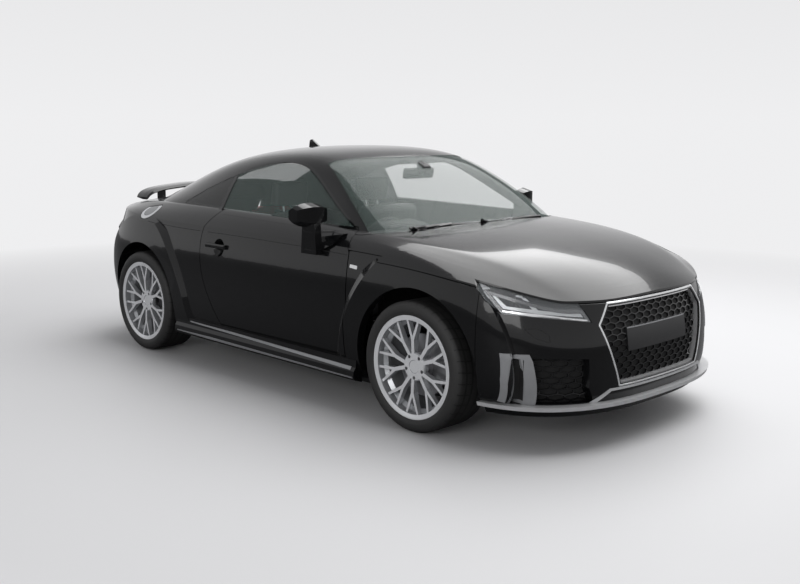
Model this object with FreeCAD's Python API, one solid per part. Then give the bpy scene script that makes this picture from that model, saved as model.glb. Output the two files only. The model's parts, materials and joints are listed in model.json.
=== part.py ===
import FreeCAD, Part
import math
import os
from FreeCAD import Vector

os.makedirs("parts", exist_ok=True)

# Two-door fastback coupe with a clamshell bonnet, frameless doors and a liftback tailgate.
# X points to the nose, Y to the car's left, Z up. The origin is on the ground at mid length.

# Overall sizes
length = 4191.0
width = 1832.0
height = 1353.0
wheelbase = 2505.0
front_overhang = 878.0
front_track = 1572.0
rear_track = 1552.0
half_width = width / 2
nose_x = length / 2
front_axle_x = nose_x - front_overhang
rear_axle_x = front_axle_x - wheelbase
tail_x = -length / 2
rear_overhang = rear_axle_x - tail_x

# Gaps between pieces
moving_gap = 5.0
panel_gap = 3.0
seat_gap = 0.3
overrun = 400.0

# Wheels, tyres and the arches over them
tyre_radius = 327.0
tyre_width = 245.0
rim_radius = 258.5
rim_width = 228.6
arch_radius = 392.0
arch_crease_radius = 503.0
arch_fade = 70.0
arch_depth = 46.0
flare_bottom_z = 236.0
front_well_inner_y = 470.0
rear_well_inner_y = 600.0

# Walls and floors of the body
skin_wall = 26.0
bumper_wall = 34.0
bonnet_wall = 30.0
bonnet_hem = 7.0
hatch_wall = 34.0
roof_wall = 40.0
glass_wall = 5.0
floor_wall = 40.0
floor_z = 150.0
sill_bottom_z = 165.0
sill_top_z = 293.0
cabin_floor_z = floor_z + floor_wall
door_inner_y = 705.0
door_inset = 22.0

# Deck over bonnet, shoulders and tail: station, centre height, mid height, crease side place,
# crease heights inside and outside, shoulder, feature line and outside heights
deck_shares = (
    (3.153, 0.345, 0.345, 0.568, 0.342, 0.338, 0.323, 0.294, 0.250),
    (3.008, 0.458, 0.455, 0.576, 0.436, 0.424, 0.406, 0.378, 0.325),
    (2.895, 0.524, 0.518, 0.590, 0.490, 0.478, 0.455, 0.430, 0.390),
    (2.755, 0.580, 0.574, 0.622, 0.538, 0.525, 0.494, 0.468, 0.430),
    (2.572, 0.624, 0.622, 0.674, 0.602, 0.592, 0.551, 0.515, 0.462),
    (2.322, 0.662, 0.660, 0.738, 0.646, 0.637, 0.604, 0.562, 0.496),
    (1.993, 0.694, 0.692, 0.806, 0.676, 0.666, 0.646, 0.588, 0.500),
    (1.853, 0.713, 0.711, 0.800, 0.695, 0.689, 0.662, 0.592, 0.500),
    (1.674, 0.721, 0.718, 0.802, 0.714, 0.709, 0.671, 0.597, 0.504),
    (1.454, 0.728, 0.724, 0.813, 0.722, 0.718, 0.676, 0.601, 0.507),
    (1.235, 0.732, 0.730, 0.810, 0.729, 0.722, 0.679, 0.606, 0.512),
    (1.035, 0.739, 0.736, 0.786, 0.730, 0.719, 0.680, 0.612, 0.520),
    (0.613, 0.733, 0.728, 0.753, 0.713, 0.698, 0.666, 0.620, 0.530),
    (0.291, 0.715, 0.710, 0.699, 0.684, 0.669, 0.639, 0.608, 0.542),
    (0.106, 0.693, 0.684, 0.655, 0.656, 0.642, 0.613, 0.591, 0.547),
    (-0.030, 0.658, 0.647, 0.611, 0.621, 0.608, 0.584, 0.565, 0.532),
    (-0.166, 0.591, 0.584, 0.568, 0.565, 0.554, 0.540, 0.525, 0.503),
)
deck_crease_share = 0.012
deck_shoulder_share = 0.905
deck_feature_share = 0.985
deck_outside_share = 1.12

# Lower body: height, nose station, tail station, half width
tub_shares = (
    (0.111, 2.925, 0.137, 0.906),
    (0.185, 2.974, 0.054, 0.952),
    (0.310, 2.976, -0.006, 0.974),
    (0.443, 2.947, -0.008, 0.979),
    (0.576, 2.858, 0.041, 0.969),
    (0.739, 2.750, 0.137, 0.906),
)
# Plan outline of the lower body: run back from the nose or the tail as a share of that overhang,
# and side place as a share of the half width
nose_plan_shares = ((0.0, 0.0), (0.004, 0.28), (0.045, 0.51), (0.14, 0.72), (0.31, 0.89), (0.61, 0.98))
tail_plan_shares = ((0.0, 0.0), (0.008, 0.28), (0.055, 0.53), (0.20, 0.76), (0.45, 0.93), (0.80, 0.99))
side_plan_shares = ((1.86, 0.985), (1.5, 0.995), (1.14, 1.0))

# Roof, glass and pillars: station, centre and mid heights, then side place and height of the
# rail, the outer rail, the upper glass, the belt and the foot
canopy_shares = (
    (1.917, 0.642, 0.640, 0.611, 0.627, 0.712, 0.616, 0.766, 0.604, 0.813, 0.588, 0.873, 0.562),
    (1.885, 0.677, 0.676, 0.615, 0.666, 0.718, 0.652, 0.770, 0.635, 0.813, 0.612, 0.873, 0.576),
    (1.841, 0.733, 0.732, 0.632, 0.729, 0.744, 0.712, 0.785, 0.684, 0.819, 0.655, 0.873, 0.591),
    (1.789, 0.800, 0.799, 0.640, 0.794, 0.753, 0.766, 0.790, 0.727, 0.819, 0.687, 0.873, 0.606),
    (1.730, 0.878, 0.877, 0.631, 0.864, 0.744, 0.820, 0.772, 0.774, 0.819, 0.702, 0.873, 0.613),
    (1.666, 0.955, 0.951, 0.596, 0.925, 0.690, 0.881, 0.735, 0.831, 0.819, 0.708, 0.873, 0.617),
    (1.602, 0.995, 0.990, 0.570, 0.966, 0.650, 0.927, 0.701, 0.878, 0.821, 0.710, 0.873, 0.617),
    (1.514, 1.007, 1.002, 0.557, 0.983, 0.638, 0.949, 0.688, 0.897, 0.823, 0.711, 0.873, 0.617),
    (1.402, 1.004, 0.999, 0.551, 0.977, 0.635, 0.940, 0.688, 0.888, 0.825, 0.711, 0.876, 0.617),
    (1.290, 0.989, 0.983, 0.540, 0.958, 0.631, 0.916, 0.690, 0.863, 0.828, 0.710, 0.879, 0.617),
    (1.187, 0.959, 0.952, 0.524, 0.924, 0.624, 0.878, 0.694, 0.825, 0.830, 0.706, 0.882, 0.617),
    (1.091, 0.915, 0.908, 0.504, 0.877, 0.614, 0.829, 0.699, 0.780, 0.835, 0.701, 0.884, 0.613),
    (0.985, 0.851, 0.844, 0.486, 0.816, 0.603, 0.776, 0.704, 0.739, 0.841, 0.687, 0.886, 0.606),
    (0.688, 0.778, 0.772, 0.469, 0.749, 0.590, 0.721, 0.710, 0.695, 0.841, 0.665, 0.879, 0.599),
    (0.415, 0.710, 0.704, 0.459, 0.687, 0.579, 0.669, 0.699, 0.650, 0.819, 0.628, 0.862, 0.576),
    (0.168, 0.643, 0.637, 0.448, 0.625, 0.568, 0.613, 0.677, 0.599, 0.786, 0.584, 0.841, 0.547),
)
canopy_mid_share = 0.55
canopy_lean_shares = ((0.0, 1.1), (0.0, 1.1), (0.25, 1.1), (0.7, 0.9), (1.0, 0.5), (1.0, 0.1), (1.0, 0.0))


def station(share):
    # Place along the car: 0 tail, 1 rear axle, 2 front axle, 3 nose
    if share < 1:
        return tail_x + share * rear_overhang
    if share < 2:
        return rear_axle_x + (share - 1) * wheelbase
    return front_axle_x + (share - 2) * front_overhang


def from_side(shares):
    # Points seen from the side, from shares of half the length and of the height
    return [(x * nose_x, z * height) for x, z in shares]


def from_above(shares):
    # Points seen from above, from shares of half the length and of half the width
    return [(x * nose_x, y * half_width) for x, y in shares]


def from_front(shares):
    # Points seen from the front, from shares of half the width and of the height
    return [(y * half_width, z * height) for y, z in shares]


def clamped(count):
    inner = count - 4
    mults = [4] + [1] * inner + [4]
    return mults, [float(step) for step in range(inner + 2)]


def net_face(rows, ring=False):
    surface = Part.BSplineSurface()
    row_mults, row_knots = clamped(len(rows))
    if ring:
        count = len(rows[0])
        point_mults = [1] * (count + 1)
        point_knots = [float(step) for step in range(count + 1)]
    else:
        point_mults, point_knots = clamped(len(rows[0]))
    surface.buildFromPolesMultsKnots(rows, row_mults, point_mults, row_knots, point_knots,
                                     False, ring, 3, 3)
    return surface.toShape()


def both_sides(half):
    # A row from right to left, from its points between the centre and the left
    right = [Vector(point.x, -point.y, point.z) for point in half[1:]]
    return right[::-1] + half


def mirrored(shape):
    return shape.mirror(Vector(0, 0, 0), Vector(0, 1, 0))


def both(left):
    return left.fuse(mirrored(left)).removeSplitter()


def solid_of(shape):
    solids = shape.Solids
    if len(solids) == 1:
        return solids[0]
    return Part.makeCompound(solids)


def largest(shape):
    return max(shape.Solids, key=lambda solid: solid.Volume)


def box(x0, x1, y0, y1, z0, z1):
    return Part.makeBox(x1 - x0, y1 - y0, z1 - z0, Vector(x0, y0, z0))


def over_all(z0, z1):
    return box(tail_x - overrun, nose_x + overrun, -width, width, z0, z1)


def rod(radius, start, end):
    return Part.makeCylinder(radius, (end - start).Length, start, end - start)


def cylinder_y(x, z, radius, y0, y1):
    return rod(radius, Vector(x, y0, z), Vector(x, y1, z))


def run_edge(points):
    if len(points) == 2:
        return Part.LineSegment(points[0], points[1]).toShape()
    curve = Part.BSplineCurve()
    curve.interpolate(points)
    return curve.toShape()


def grown(runs, margin):
    # The same closed outline with every point moved outwards, corners kept sharp
    ring = [point for run in runs for point in run[:-1]]
    count = len(ring)
    area = sum(ring[i - 1][0] * ring[i][1] - ring[i][0] * ring[i - 1][1] for i in range(count))
    turn = 1 if area > 0 else -1
    moved = []
    for i in range(count):
        back, here, ahead = ring[i - 1], ring[i], ring[(i + 1) % count]
        normals = []
        for start, end in ((back, here), (here, ahead)):
            run_x, run_y = end[0] - start[0], end[1] - start[1]
            size = math.hypot(run_x, run_y)
            normals.append((turn * run_y / size, -turn * run_x / size))
        (ax, ay), (bx, by) = normals
        reach = margin / (1 + ax * bx + ay * by)
        moved.append((here[0] + (ax + bx) * reach, here[1] + (ay + by) * reach))
    result = []
    at = 0
    for run in runs:
        result.append([moved[(at + step) % count] for step in range(len(run))])
        at += len(run) - 1
    return result


def outline_face(runs, place, margin=0.0):
    # A flat face from runs of points: two points make a straight edge, more make a curve
    if margin:
        runs = grown(runs, margin)
    return Part.Face(Part.Wire([run_edge([place(a, b) for a, b in run]) for run in runs]))


def straight(points):
    # Straight runs round a closed outline
    return [[points[step - 1], points[step]] for step in range(len(points))]


def side_prism(runs, y0, y1, margin=0.0):
    # Runs of (x, z) points, extruded across the car
    face = outline_face(runs, lambda x, z: Vector(x, y0, z), margin)
    return face.extrude(Vector(0, y1 - y0, 0))


def plan_prism(runs, z0, z1, margin=0.0):
    # Runs of (x, y) points, extruded upwards
    face = outline_face(runs, lambda x, y: Vector(x, y, z0), margin)
    return face.extrude(Vector(0, 0, z1 - z0))


def front_prism(runs, x0, x1, margin=0.0):
    # Runs of (y, z) points, extruded along the car
    face = outline_face(runs, lambda y, z: Vector(x0, y, z), margin)
    return face.extrude(Vector(x1 - x0, 0, 0))


def revolved(points, x=0.0, y=0.0, z=0.0):
    # A solid turned about the Y axis from (radius, y) points, then moved into place
    face = outline_face(straight(points), lambda radius, side: Vector(0, side, radius))
    turned = face.revolve(Vector(0, 0, 0), Vector(0, 1, 0), 360)
    turned.translate(Vector(x, y, z))
    return turned


def polar(radius, angle):
    return radius * math.sin(angle), radius * math.cos(angle)


def first_hit(shape, start, end):
    # Where a straight line from outside first meets a solid
    hits = Part.makeLine(start, end).common(shape).Vertexes
    return min([vertex.Point for vertex in hits], key=lambda point: point.distanceToPoint(start))


def inside(point, outline):
    # Whether a point lies within a closed outline of points
    crossed = False
    for (ax, ay), (bx, by) in zip(outline, outline[1:] + outline[:1]):
        if (ay > point[1]) != (by > point[1]):
            if point[0] < ax + (bx - ax) * (point[1] - ay) / (by - ay):
                crossed = not crossed
    return crossed


def under_deck(drop=0.0):
    rows = []
    for at, centre, mid, crease, inner, outer, shoulder, feature, outside in deck_shares:
        x = station(at)
        y = crease * half_width
        places = ((0, centre), (y / 2, mid), (y - deck_crease_share * half_width, inner),
                  (y + deck_crease_share * half_width, outer),
                  (deck_shoulder_share * half_width, shoulder),
                  (deck_feature_share * half_width, feature),
                  (deck_outside_share * half_width, outside))
        rows.append(both_sides([Vector(x, side, share * height - drop) for side, share in places]))
    return net_face(rows).extrude(Vector(0, 0, -height))


def lower_tub(inset=0.0):
    rings = []
    for high, nose, tail, side in tub_shares:
        half = side * half_width - inset
        front = station(nose) - inset
        back = station(tail) + inset
        right = [Vector(front - run * front_overhang, share * half, high * height)
                 for run, share in nose_plan_shares]
        right += [Vector(station(at), share * half, high * height) for at, share in side_plan_shares]
        right += [Vector(back + run * rear_overhang, share * half, high * height)
                  for run, share in tail_plan_shares[::-1]]
        left = [Vector(point.x, -point.y, point.z) for point in right[-2:0:-1]]
        rings.append(right + left)
    wall = net_face(rings, ring=True)
    caps = [Part.Face(Part.Wire(edge)) for edge in wall.Edges if edge.isClosed() and flat_edge(edge)]
    shell = Part.makeShell([wall] + caps)
    shell.sewShape()
    return Part.makeSolid(shell)


def flat_edge(edge):
    return edge.BoundBox.ZLength < seat_gap


def tub_layer(outer, inner):
    # A layer of the lower body between two insets from its skin
    return lower_tub(outer).cut(lower_tub(inner))


def canopy(inset=0.0):
    rows = []
    for row in canopy_shares:
        x = station(row[0])
        rail = row[3]
        places = [(0, row[1]), (rail * canopy_mid_share, row[2])]
        places += [(row[step], row[step + 1]) for step in (3, 5, 7, 9, 11)]
        half = []
        for (side, high), (lean, lower) in zip(places, canopy_lean_shares):
            half.append(Vector(x, side * half_width - lean * inset, high * height - lower * inset))
        rows.append(both_sides(half))
    return net_face(rows).extrude(Vector(0, 0, -height / 2))


def arch_ring(axle_x, outer_y):
    # Flared lip round one wheel opening on the left side, from (y, radius) points
    inner_y = outer_y - arch_depth * 4
    reach = arch_crease_radius + arch_fade
    ring = revolved([
        (arch_radius, inner_y),
        (arch_radius, outer_y - arch_depth / 8),
        (arch_crease_radius - arch_fade / 8, outer_y),
        (arch_crease_radius, outer_y - arch_depth / 12),
        (reach, outer_y - arch_depth),
        (reach, inner_y),
    ], axle_x, 0.0, tyre_radius)
    return ring.common(over_all(flare_bottom_z, height))


def save(node, shape):
    solid_of(shape).exportStep("parts/" + node + ".step")


def save_pair(node, left):
    save(node + "_left", left)
    save(node + "_right", mirrored(left))


def save_both(node, left):
    # One node with a solid on each side of the car
    save(node, Part.makeCompound([left, mirrored(left)]))


# Door and side window outlines seen from the side
door_front_x = 722.0
door_bottom_z = sill_top_z + moving_gap
door_shoulder_z = 838.0
belt_front, belt_rear = from_side(((0.316, 0.707), (-0.251, 0.720)))
door_rear_shares = ((-0.251, 0.720), (-0.273, 0.669), (-0.286, 0.613), (-0.288, 0.532), (-0.279, 0.443),
                    (-0.256, 0.355), (-0.227, 0.277))
door_rear_curve = from_side(door_rear_shares) + [(-0.200 * nose_x, door_bottom_z)]
door_front_foot = (door_front_x, door_bottom_z)
door_front_head = (door_front_x, door_shoulder_z)
door_runs = [
    [belt_front, belt_rear],
    door_rear_curve,
    [door_rear_curve[-1], door_front_foot],
    [door_front_foot, door_front_head],
    [door_front_head, belt_front],
]
window_top_shares = ((0.302, 0.707), (0.239, 0.757), (0.180, 0.810), (0.124, 0.859), (0.072, 0.899),
                     (0.024, 0.922), (-0.036, 0.932), (-0.098, 0.928), (-0.177, 0.908), (-0.255, 0.876),
                     (-0.334, 0.835), (-0.413, 0.785), (-0.482, 0.730))
window_top_curve = from_side(window_top_shares)
window_front = window_top_curve[0]
window_rear = window_top_curve[-1]
window_runs = [window_top_curve, [window_rear, belt_rear], [belt_rear, window_front]]
window_division_x = -540.0
window_division_lean = 14.0

# Windscreen, roof, tailgate and bonnet outlines seen from above, left half
screen_front_curve = from_above(((0.161, 0.0), (0.156, 0.229), (0.139, 0.426), (0.104, 0.614)))
screen_side_curve = from_above(((0.104, 0.614), (0.183, 0.679), (0.264, 0.745), (0.333, 0.788),
                                (0.382, 0.817)))
screen_base_curve = from_above(((0.382, 0.817), (0.413, 0.655), (0.426, 0.437), (0.430, 0.218), (0.431, 0.0)))
screen_base_x = screen_base_curve[-1][0]
screen_runs = [screen_front_curve, screen_side_curve, screen_base_curve,
               [screen_base_curve[-1], screen_front_curve[0]]]
roof_front_curve = from_above(((0.160, 0.0), (0.154, 0.229), (0.138, 0.426), (0.114, 0.568)))
roof_split_y = roof_front_curve[-1][1]
hatch_side_shares = ((-0.329, 0.491), (-0.429, 0.509), (-0.549, 0.539), (-0.668, 0.583), (-0.787, 0.614),
                     (-0.883, 0.595), (-0.935, 0.551), (-1.048, 0.546))
hatch_side_curve = from_above(hatch_side_shares)
hatch_front_x = hatch_side_curve[0][0]
hatch_bottom_z = 717.0
rear_glass_runs = [
    from_above(((-0.373, 0.0), (-0.377, 0.442))),
    from_above(((-0.377, 0.442), (-0.525, 0.476), (-0.678, 0.515))),
    from_above(((-0.678, 0.515), (-0.687, 0.273), (-0.690, 0.0))),
    from_above(((-0.690, 0.0), (-0.373, 0.0))),
]
bonnet_rear_curve = from_above(((0.445, 0.0), (0.442, 0.240), (0.435, 0.459), (0.422, 0.655), (0.390, 0.788),
                                (0.354, 0.841), (0.323, 0.849)))
bumper_front_x = 1603.0
bumper_rear_x = -1700.0
bumper_rear_top_z = hatch_bottom_z - moving_gap
bulkhead_x = 742.0
bulkhead_wall = 40.0

# Openings in the nose and tail seen from the front, left half
lamp_shares = ((0.604, 0.545), (0.536, 0.450), (0.770, 0.472), (0.872, 0.481), (0.924, 0.527), (0.990, 0.590),
               (0.764, 0.700))
lamp_tip_shares = ((0.744, 0.585), (0.779, 0.527), (0.812, 0.478), (0.815, 0.400), (1.100, 0.400),
                   (1.100, 0.700), (0.744, 0.700))
lamp_runs = straight(from_front(lamp_shares))
lamp_tip_runs = straight(from_side(lamp_tip_shares))
grille_shares = ((0.404, 0.496), (0.481, 0.433), (0.366, 0.225), (-0.366, 0.225), (-0.481, 0.433),
                 (-0.404, 0.496))
grille_runs = straight(from_front(grille_shares))
intake_shares = ((0.570, 0.327), (0.873, 0.338), (0.858, 0.172), (0.522, 0.172), (0.563, 0.225))
intake_runs = straight(from_front(intake_shares))
blade_shares = ((0.843, 0.169), (0.869, 0.169), (0.886, 0.325), (0.880, 0.346), (0.820, 0.348),
                (0.810, 0.325), (0.775, 0.169), (0.812, 0.169), (0.846, 0.333), (0.866, 0.333))
blade_runs = straight(from_front(blade_shares))
tail_lamp_shares = ((0.558, 0.553), (0.558, 0.596), (0.655, 0.628), (1.015, 0.643), (1.015, 0.548),
                    (0.786, 0.535))
tail_lamp_runs = straight(from_front(tail_lamp_shares))
tail_lamp_x = -1745.0
diffuser_top_z = 322.0
diffuser_y = 610.0

# Surfaces and their inner copies
deck = under_deck()
tub = lower_tub()
tub_skin = lower_tub(skin_wall)
tub_deep = lower_tub(bumper_wall)
roof_skin = canopy()
roof_glass = canopy(glass_wall)
roof_inner = canopy(roof_wall)
flare = lower_tub(-arch_depth / 2)
above_sill = over_all(sill_bottom_z, height * 2)
left_side = box(tail_x - overrun, nose_x + overrun, 0, width, -height, height * 2)
rings = [arch_ring(front_axle_x, half_width), arch_ring(rear_axle_x, half_width)]
rings = [ring.common(flare) for ring in rings]
rings += [mirrored(ring) for ring in rings]
lower = tub.common(above_sill).fuse(rings)
front_well = cylinder_y(front_axle_x, tyre_radius, arch_radius, front_well_inner_y, width)
rear_well = cylinder_y(rear_axle_x, tyre_radius, arch_radius, rear_well_inner_y, width)
wells = [front_well, rear_well, mirrored(front_well), mirrored(rear_well)]
canopy_solid = roof_skin.common(over_all(tyre_radius + arch_radius + floor_wall, height * 2))
body = lower.common(deck).cut(wells).fuse(canopy_solid)

# Bonnet: a thin hem over the wings and an inner frame between them
ahead_of_door = side_prism(straight([
    (door_front_x + moving_gap, 0), (door_front_x + moving_gap, door_shoulder_z),
    (belt_front[0] + moving_gap, belt_front[1]), (belt_front[0] + moving_gap, height),
    (nose_x + overrun, height), (nose_x + overrun, 0)]), -width, width)
bonnet_runs = [bonnet_rear_curve] + straight([
    bonnet_rear_curve[-1], (bonnet_rear_curve[-1][0], width), (nose_x + overrun, width),
    (nose_x + overrun, 0), bonnet_rear_curve[0]])[1:]
bonnet_plan = both(plan_prism(bonnet_runs, sill_top_z, height))
bonnet_room = both(plan_prism(bonnet_runs, sill_top_z, height, moving_gap)).common(ahead_of_door)
bonnet_inner = lower_tub(bumper_wall + moving_gap).common(deck).cut(under_deck(bonnet_wall))
bonnet = lower.common(deck).cut(under_deck(bonnet_hem)).fuse(bonnet_inner)
bonnet = bonnet.common(bonnet_plan).common(ahead_of_door)
save("bonnet", largest(bonnet))

# Front wings and bumper below the bonnet
under_hem = under_deck(bonnet_hem + moving_gap)
lamp_start_x = 1532.0


def lamp_prism(start_x, margin=0.0):
    # The headlamp opening: its outline from the front, run to a point seen from the side
    return front_prism(lamp_runs, start_x, nose_x + overrun, margin).common(
        side_prism(lamp_tip_runs, 0, width, margin))


lamp_hole = lamp_prism(lamp_start_x, panel_gap)
wing_rear_x = door_front_x + moving_gap + panel_gap / 2
outer_shell = lower.cut(tub_skin).common(under_hem)
wing = outer_shell.common(box(wing_rear_x, bumper_front_x, 0, width, sill_bottom_z, height))
wing = largest(wing.cut([front_well, lamp_hole]))
save_pair("front_wing", wing)
grille_hole = front_prism(grille_runs, bumper_front_x, nose_x + overrun)
intake_hole = front_prism(intake_runs, bumper_front_x, nose_x + overrun)
blade_room = front_prism(blade_runs, bumper_front_x, nose_x + overrun, seat_gap)
nose_holes = [lamp_hole, grille_hole, intake_hole, blade_room]
nose_holes += [mirrored(hole) for hole in nose_holes]
bumper = lower.cut(tub_deep).common(under_hem)
bumper = bumper.common(box(bumper_front_x + panel_gap, nose_x + overrun, -width, width, 0, height))
bumper = largest(bumper.cut(wells + nose_holes))
save("front_bumper", bumper)
print("bumper and wings", bumper.isValid(), wing.isValid())

# Doors: an outer skin with a smaller inner box, so that the rear inner corner swings clear
door_zone = body.common(side_prism(door_runs, door_inner_y, width))
inner_body = tub_skin.common(under_deck(skin_wall))
door_core = side_prism(door_runs, door_inner_y, width, -door_inset)
door = largest(door_zone.cut(inner_body).fuse(door_zone.common(door_core)))

# Side windows: the door glass stands on the door, the quarter glass behind it is fixed
glass_shell = roof_skin.cut(roof_glass)
left_glass_shell = glass_shell.common(left_side)


def behind_division(gap):
    foot = (window_division_x + gap, 0)
    head = (window_division_x - window_division_lean + gap, height)
    return side_prism(straight([foot, head, (tail_x, height), (tail_x, 0)]), 0, width)


division = behind_division(0)
window_prism = side_prism(window_runs, door_inner_y - overrun / 2, width)
belt_rise = (belt_rear[1] - belt_front[1]) / (belt_front[0] - belt_rear[0])
above_belt = side_prism(straight([
    (belt_front[0] + overrun, belt_front[1] + seat_gap - belt_rise * overrun),
    (belt_rear[0], belt_rear[1] + seat_gap), (belt_rear[0] - overrun, belt_rear[1] + seat_gap),
    (belt_rear[0] - overrun, height * 2), (belt_front[0] + overrun, height * 2)]), 0, width)
door_glass = left_glass_shell.common(window_prism).cut(behind_division(moving_gap)).common(above_belt)
quarter_glass = largest(left_glass_shell.common(window_prism).common(division))
save_pair("door_glass", largest(door_glass))
save_both("quarter_glass", quarter_glass)

# Windscreen, roof panel and rear window, all parts of the canopy's shell
canopy_low_z = sill_top_z * 2
screen_prism = both(plan_prism(screen_runs, sill_top_z, height * 2))
screen_room = both(plan_prism(screen_runs, sill_top_z, height * 2, seat_gap))
above_cowl = over_all(belt_front[1] - skin_wall * 3, height * 2)
windscreen = largest(glass_shell.common(screen_prism).common(above_cowl).cut(bonnet_room))
save("windscreen", windscreen)
rear_glass_prism = both(plan_prism(rear_glass_runs, sill_top_z, height * 2))
rear_glass_room = both(plan_prism(rear_glass_runs, sill_top_z, height * 2, seat_gap))
rear_glass = largest(glass_shell.common(rear_glass_prism))
save("rear_glass", rear_glass)
roof_runs = [roof_front_curve] + straight([
    roof_front_curve[-1], (hatch_front_x + moving_gap, roof_split_y), (hatch_front_x + moving_gap, 0),
    roof_front_curve[0]])[1:]
roof_plan = both(plan_prism(roof_runs, canopy_low_z, height * 2))
roof_room = both(plan_prism(roof_runs, canopy_low_z, height * 2, seat_gap))
roof = largest(roof_skin.cut(roof_inner).common(roof_plan))

# Tailgate: the fastback shell between the quarters, with the window cut out
hatch_runs = [hatch_side_curve] + straight([
    hatch_side_curve[-1], (hatch_side_curve[-1][0], 0), (hatch_front_x, 0), hatch_side_curve[0]])[1:]
hatch_plan = both(plan_prism(hatch_runs, hatch_bottom_z, height * 2))
hatch_room = both(plan_prism(hatch_runs, bumper_rear_top_z, height * 2, moving_gap))
hatch_body = tub.common(deck).fuse(roof_skin.common(over_all(canopy_low_z, height * 2)))
hatch_inner = lower_tub(hatch_wall).common(under_deck(hatch_wall)).fuse(canopy(hatch_wall))
tailgate = largest(hatch_body.cut(hatch_inner).common(hatch_plan).cut(rear_glass_room))
save("tailgate", tailgate)
print("canopy", roof.isValid(), windscreen.isValid(), tailgate.isValid())

# Rear bumper, diffuser and lamps
tail_shell = lower.common(deck).cut(tub_deep)
bumper_room = box(tail_x - overrun, bumper_rear_x + panel_gap, -width, width, 0, bumper_rear_top_z)
rear_bumper = tail_shell.common(box(tail_x - overrun, bumper_rear_x, -width, width, sill_bottom_z,
                                    bumper_rear_top_z)).cut(wells)
diffuser_front_x = bumper_rear_x - overrun / 2
diffuser = rear_bumper.common(box(tail_x - overrun, diffuser_front_x, -diffuser_y, diffuser_y,
                                  sill_bottom_z, diffuser_top_z))
rear_bumper = rear_bumper.cut(box(tail_x - overrun, diffuser_front_x + seat_gap, -diffuser_y - seat_gap,
                                  diffuser_y + seat_gap, 0, diffuser_top_z + seat_gap))
save("rear_bumper", largest(rear_bumper))
tail_lamp_prism = front_prism(tail_lamp_runs, tail_x - overrun, tail_lamp_x)
tail_lamp_room = front_prism(tail_lamp_runs, tail_x - overrun, tail_lamp_x + seat_gap, seat_gap)
save_both("tail_lamps", largest(tail_shell.common(tail_lamp_prism).cut(hatch_room)))

# Side frame: pillars, roof rail, sill and quarter panel round the cabin and the boot
cabin_front_x = 700.0
cabin_rear_x = -870.0
boot_side_y = 560.0
boot_rear_x = -1960.0
boot_floor_z = 480.0
boot_top_z = belt_front[1] - skin_wall
floor_side_y = door_inner_y - floor_wall
cabin_space = box(cabin_rear_x, cabin_front_x, -door_inner_y, door_inner_y, cabin_floor_z, belt_front[1])
boot_space = box(boot_rear_x, cabin_rear_x, -boot_side_y, boot_side_y, boot_floor_z, boot_top_z)
roof_space = roof_inner.common(over_all(boot_top_z - floor_wall * 3, height * 2))
floor_room = box(cabin_rear_x, nose_x, 0, floor_side_y, 0, belt_front[1])
floor_room = floor_room.fuse(box(tail_x, cabin_rear_x, 0, boot_side_y, 0, boot_top_z))
axle_room = box(rear_axle_x - arch_radius, rear_axle_x + arch_radius, 0, rear_well_inner_y + panel_gap, 0,
                boot_floor_z - floor_wall * 2)
wing_room = box(wing_rear_x - panel_gap, nose_x, 0, width, 0, height)
wing_room = wing_room.cut(lower_tub(skin_wall + panel_gap))
frame = body.common(left_side)
frame = frame.common(box(tail_x, bulkhead_x + bulkhead_wall, 0, width, sill_bottom_z, height * 2))
frame_cuts = [cabin_space.fuse(boot_space), roof_space, floor_room, axle_room,
              side_prism(door_runs, 0, width, moving_gap), wing_room, bonnet_room, screen_room, roof_room,
              hatch_room, bumper_room, tail_lamp_room,
              side_prism(window_runs, 0, width, moving_gap).cut(division),
              side_prism(window_runs, 0, width, seat_gap).common(division)]
for cutter in frame_cuts:
    frame = frame.cut(cutter)

# Lower door hinge: a pin standing on the sill in a bore of the door
door_pin_x = 692.0
door_pin_y = 884.0
door_pin_radius = 5.0
door_pin_rise = 18.0
pin_foot = Vector(door_pin_x, door_pin_y, sill_top_z - moving_gap / 2)
pin_head = Vector(door_pin_x, door_pin_y, door_bottom_z + door_pin_rise)
frame = frame.fuse(rod(door_pin_radius, pin_foot, pin_head))
door = door.cut(rod(door_pin_radius + seat_gap, pin_foot, pin_head + Vector(0, 0, seat_gap)))
print("side frame", frame.isValid(), len(frame.Solids))

# Floor with bulkhead, seat riser and boot floor, one folded sheet with a tunnel on it
riser_x = -590.0
tank_top_z = 300.0
bulkhead_top_z = 868.0
toe_x = 640.0
toe_z = 400.0
tunnel_z = 330.0
tunnel_y = 130.0
tunnel_top_y = 92.0
rear_panel_wall = 28.0
boot_kick_x = cabin_rear_x - floor_wall / 2
tank_floor_z = tank_top_z + floor_wall
floor_runs = straight([
    (bulkhead_x + bulkhead_wall, bulkhead_top_z), (bulkhead_x, bulkhead_top_z), (bulkhead_x, toe_z),
    (toe_x, cabin_floor_z), (riser_x + floor_wall / 2, cabin_floor_z), (riser_x - floor_wall, tank_floor_z),
    (boot_kick_x + floor_wall, tank_floor_z), (boot_kick_x, boot_floor_z), (tail_x, boot_floor_z),
    (tail_x, boot_floor_z - floor_wall), (boot_kick_x - floor_wall, boot_floor_z - floor_wall),
    (boot_kick_x - floor_wall / 2, tank_top_z), (riser_x - floor_wall * 2, tank_top_z), (riser_x, floor_z),
    (toe_x + floor_wall / 2, floor_z), (bulkhead_x + bulkhead_wall, toe_z - floor_wall / 2)])
floor_half = floor_side_y - seat_gap
boot_half = boot_side_y - seat_gap
floor_pan = side_prism(floor_runs, -floor_half, floor_half)
floor_pan = floor_pan.cut([
    box(tail_x - overrun, cabin_rear_x, boot_half, width, 0, height),
    box(tail_x - overrun, cabin_rear_x, -width, -boot_half, 0, height)])
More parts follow.
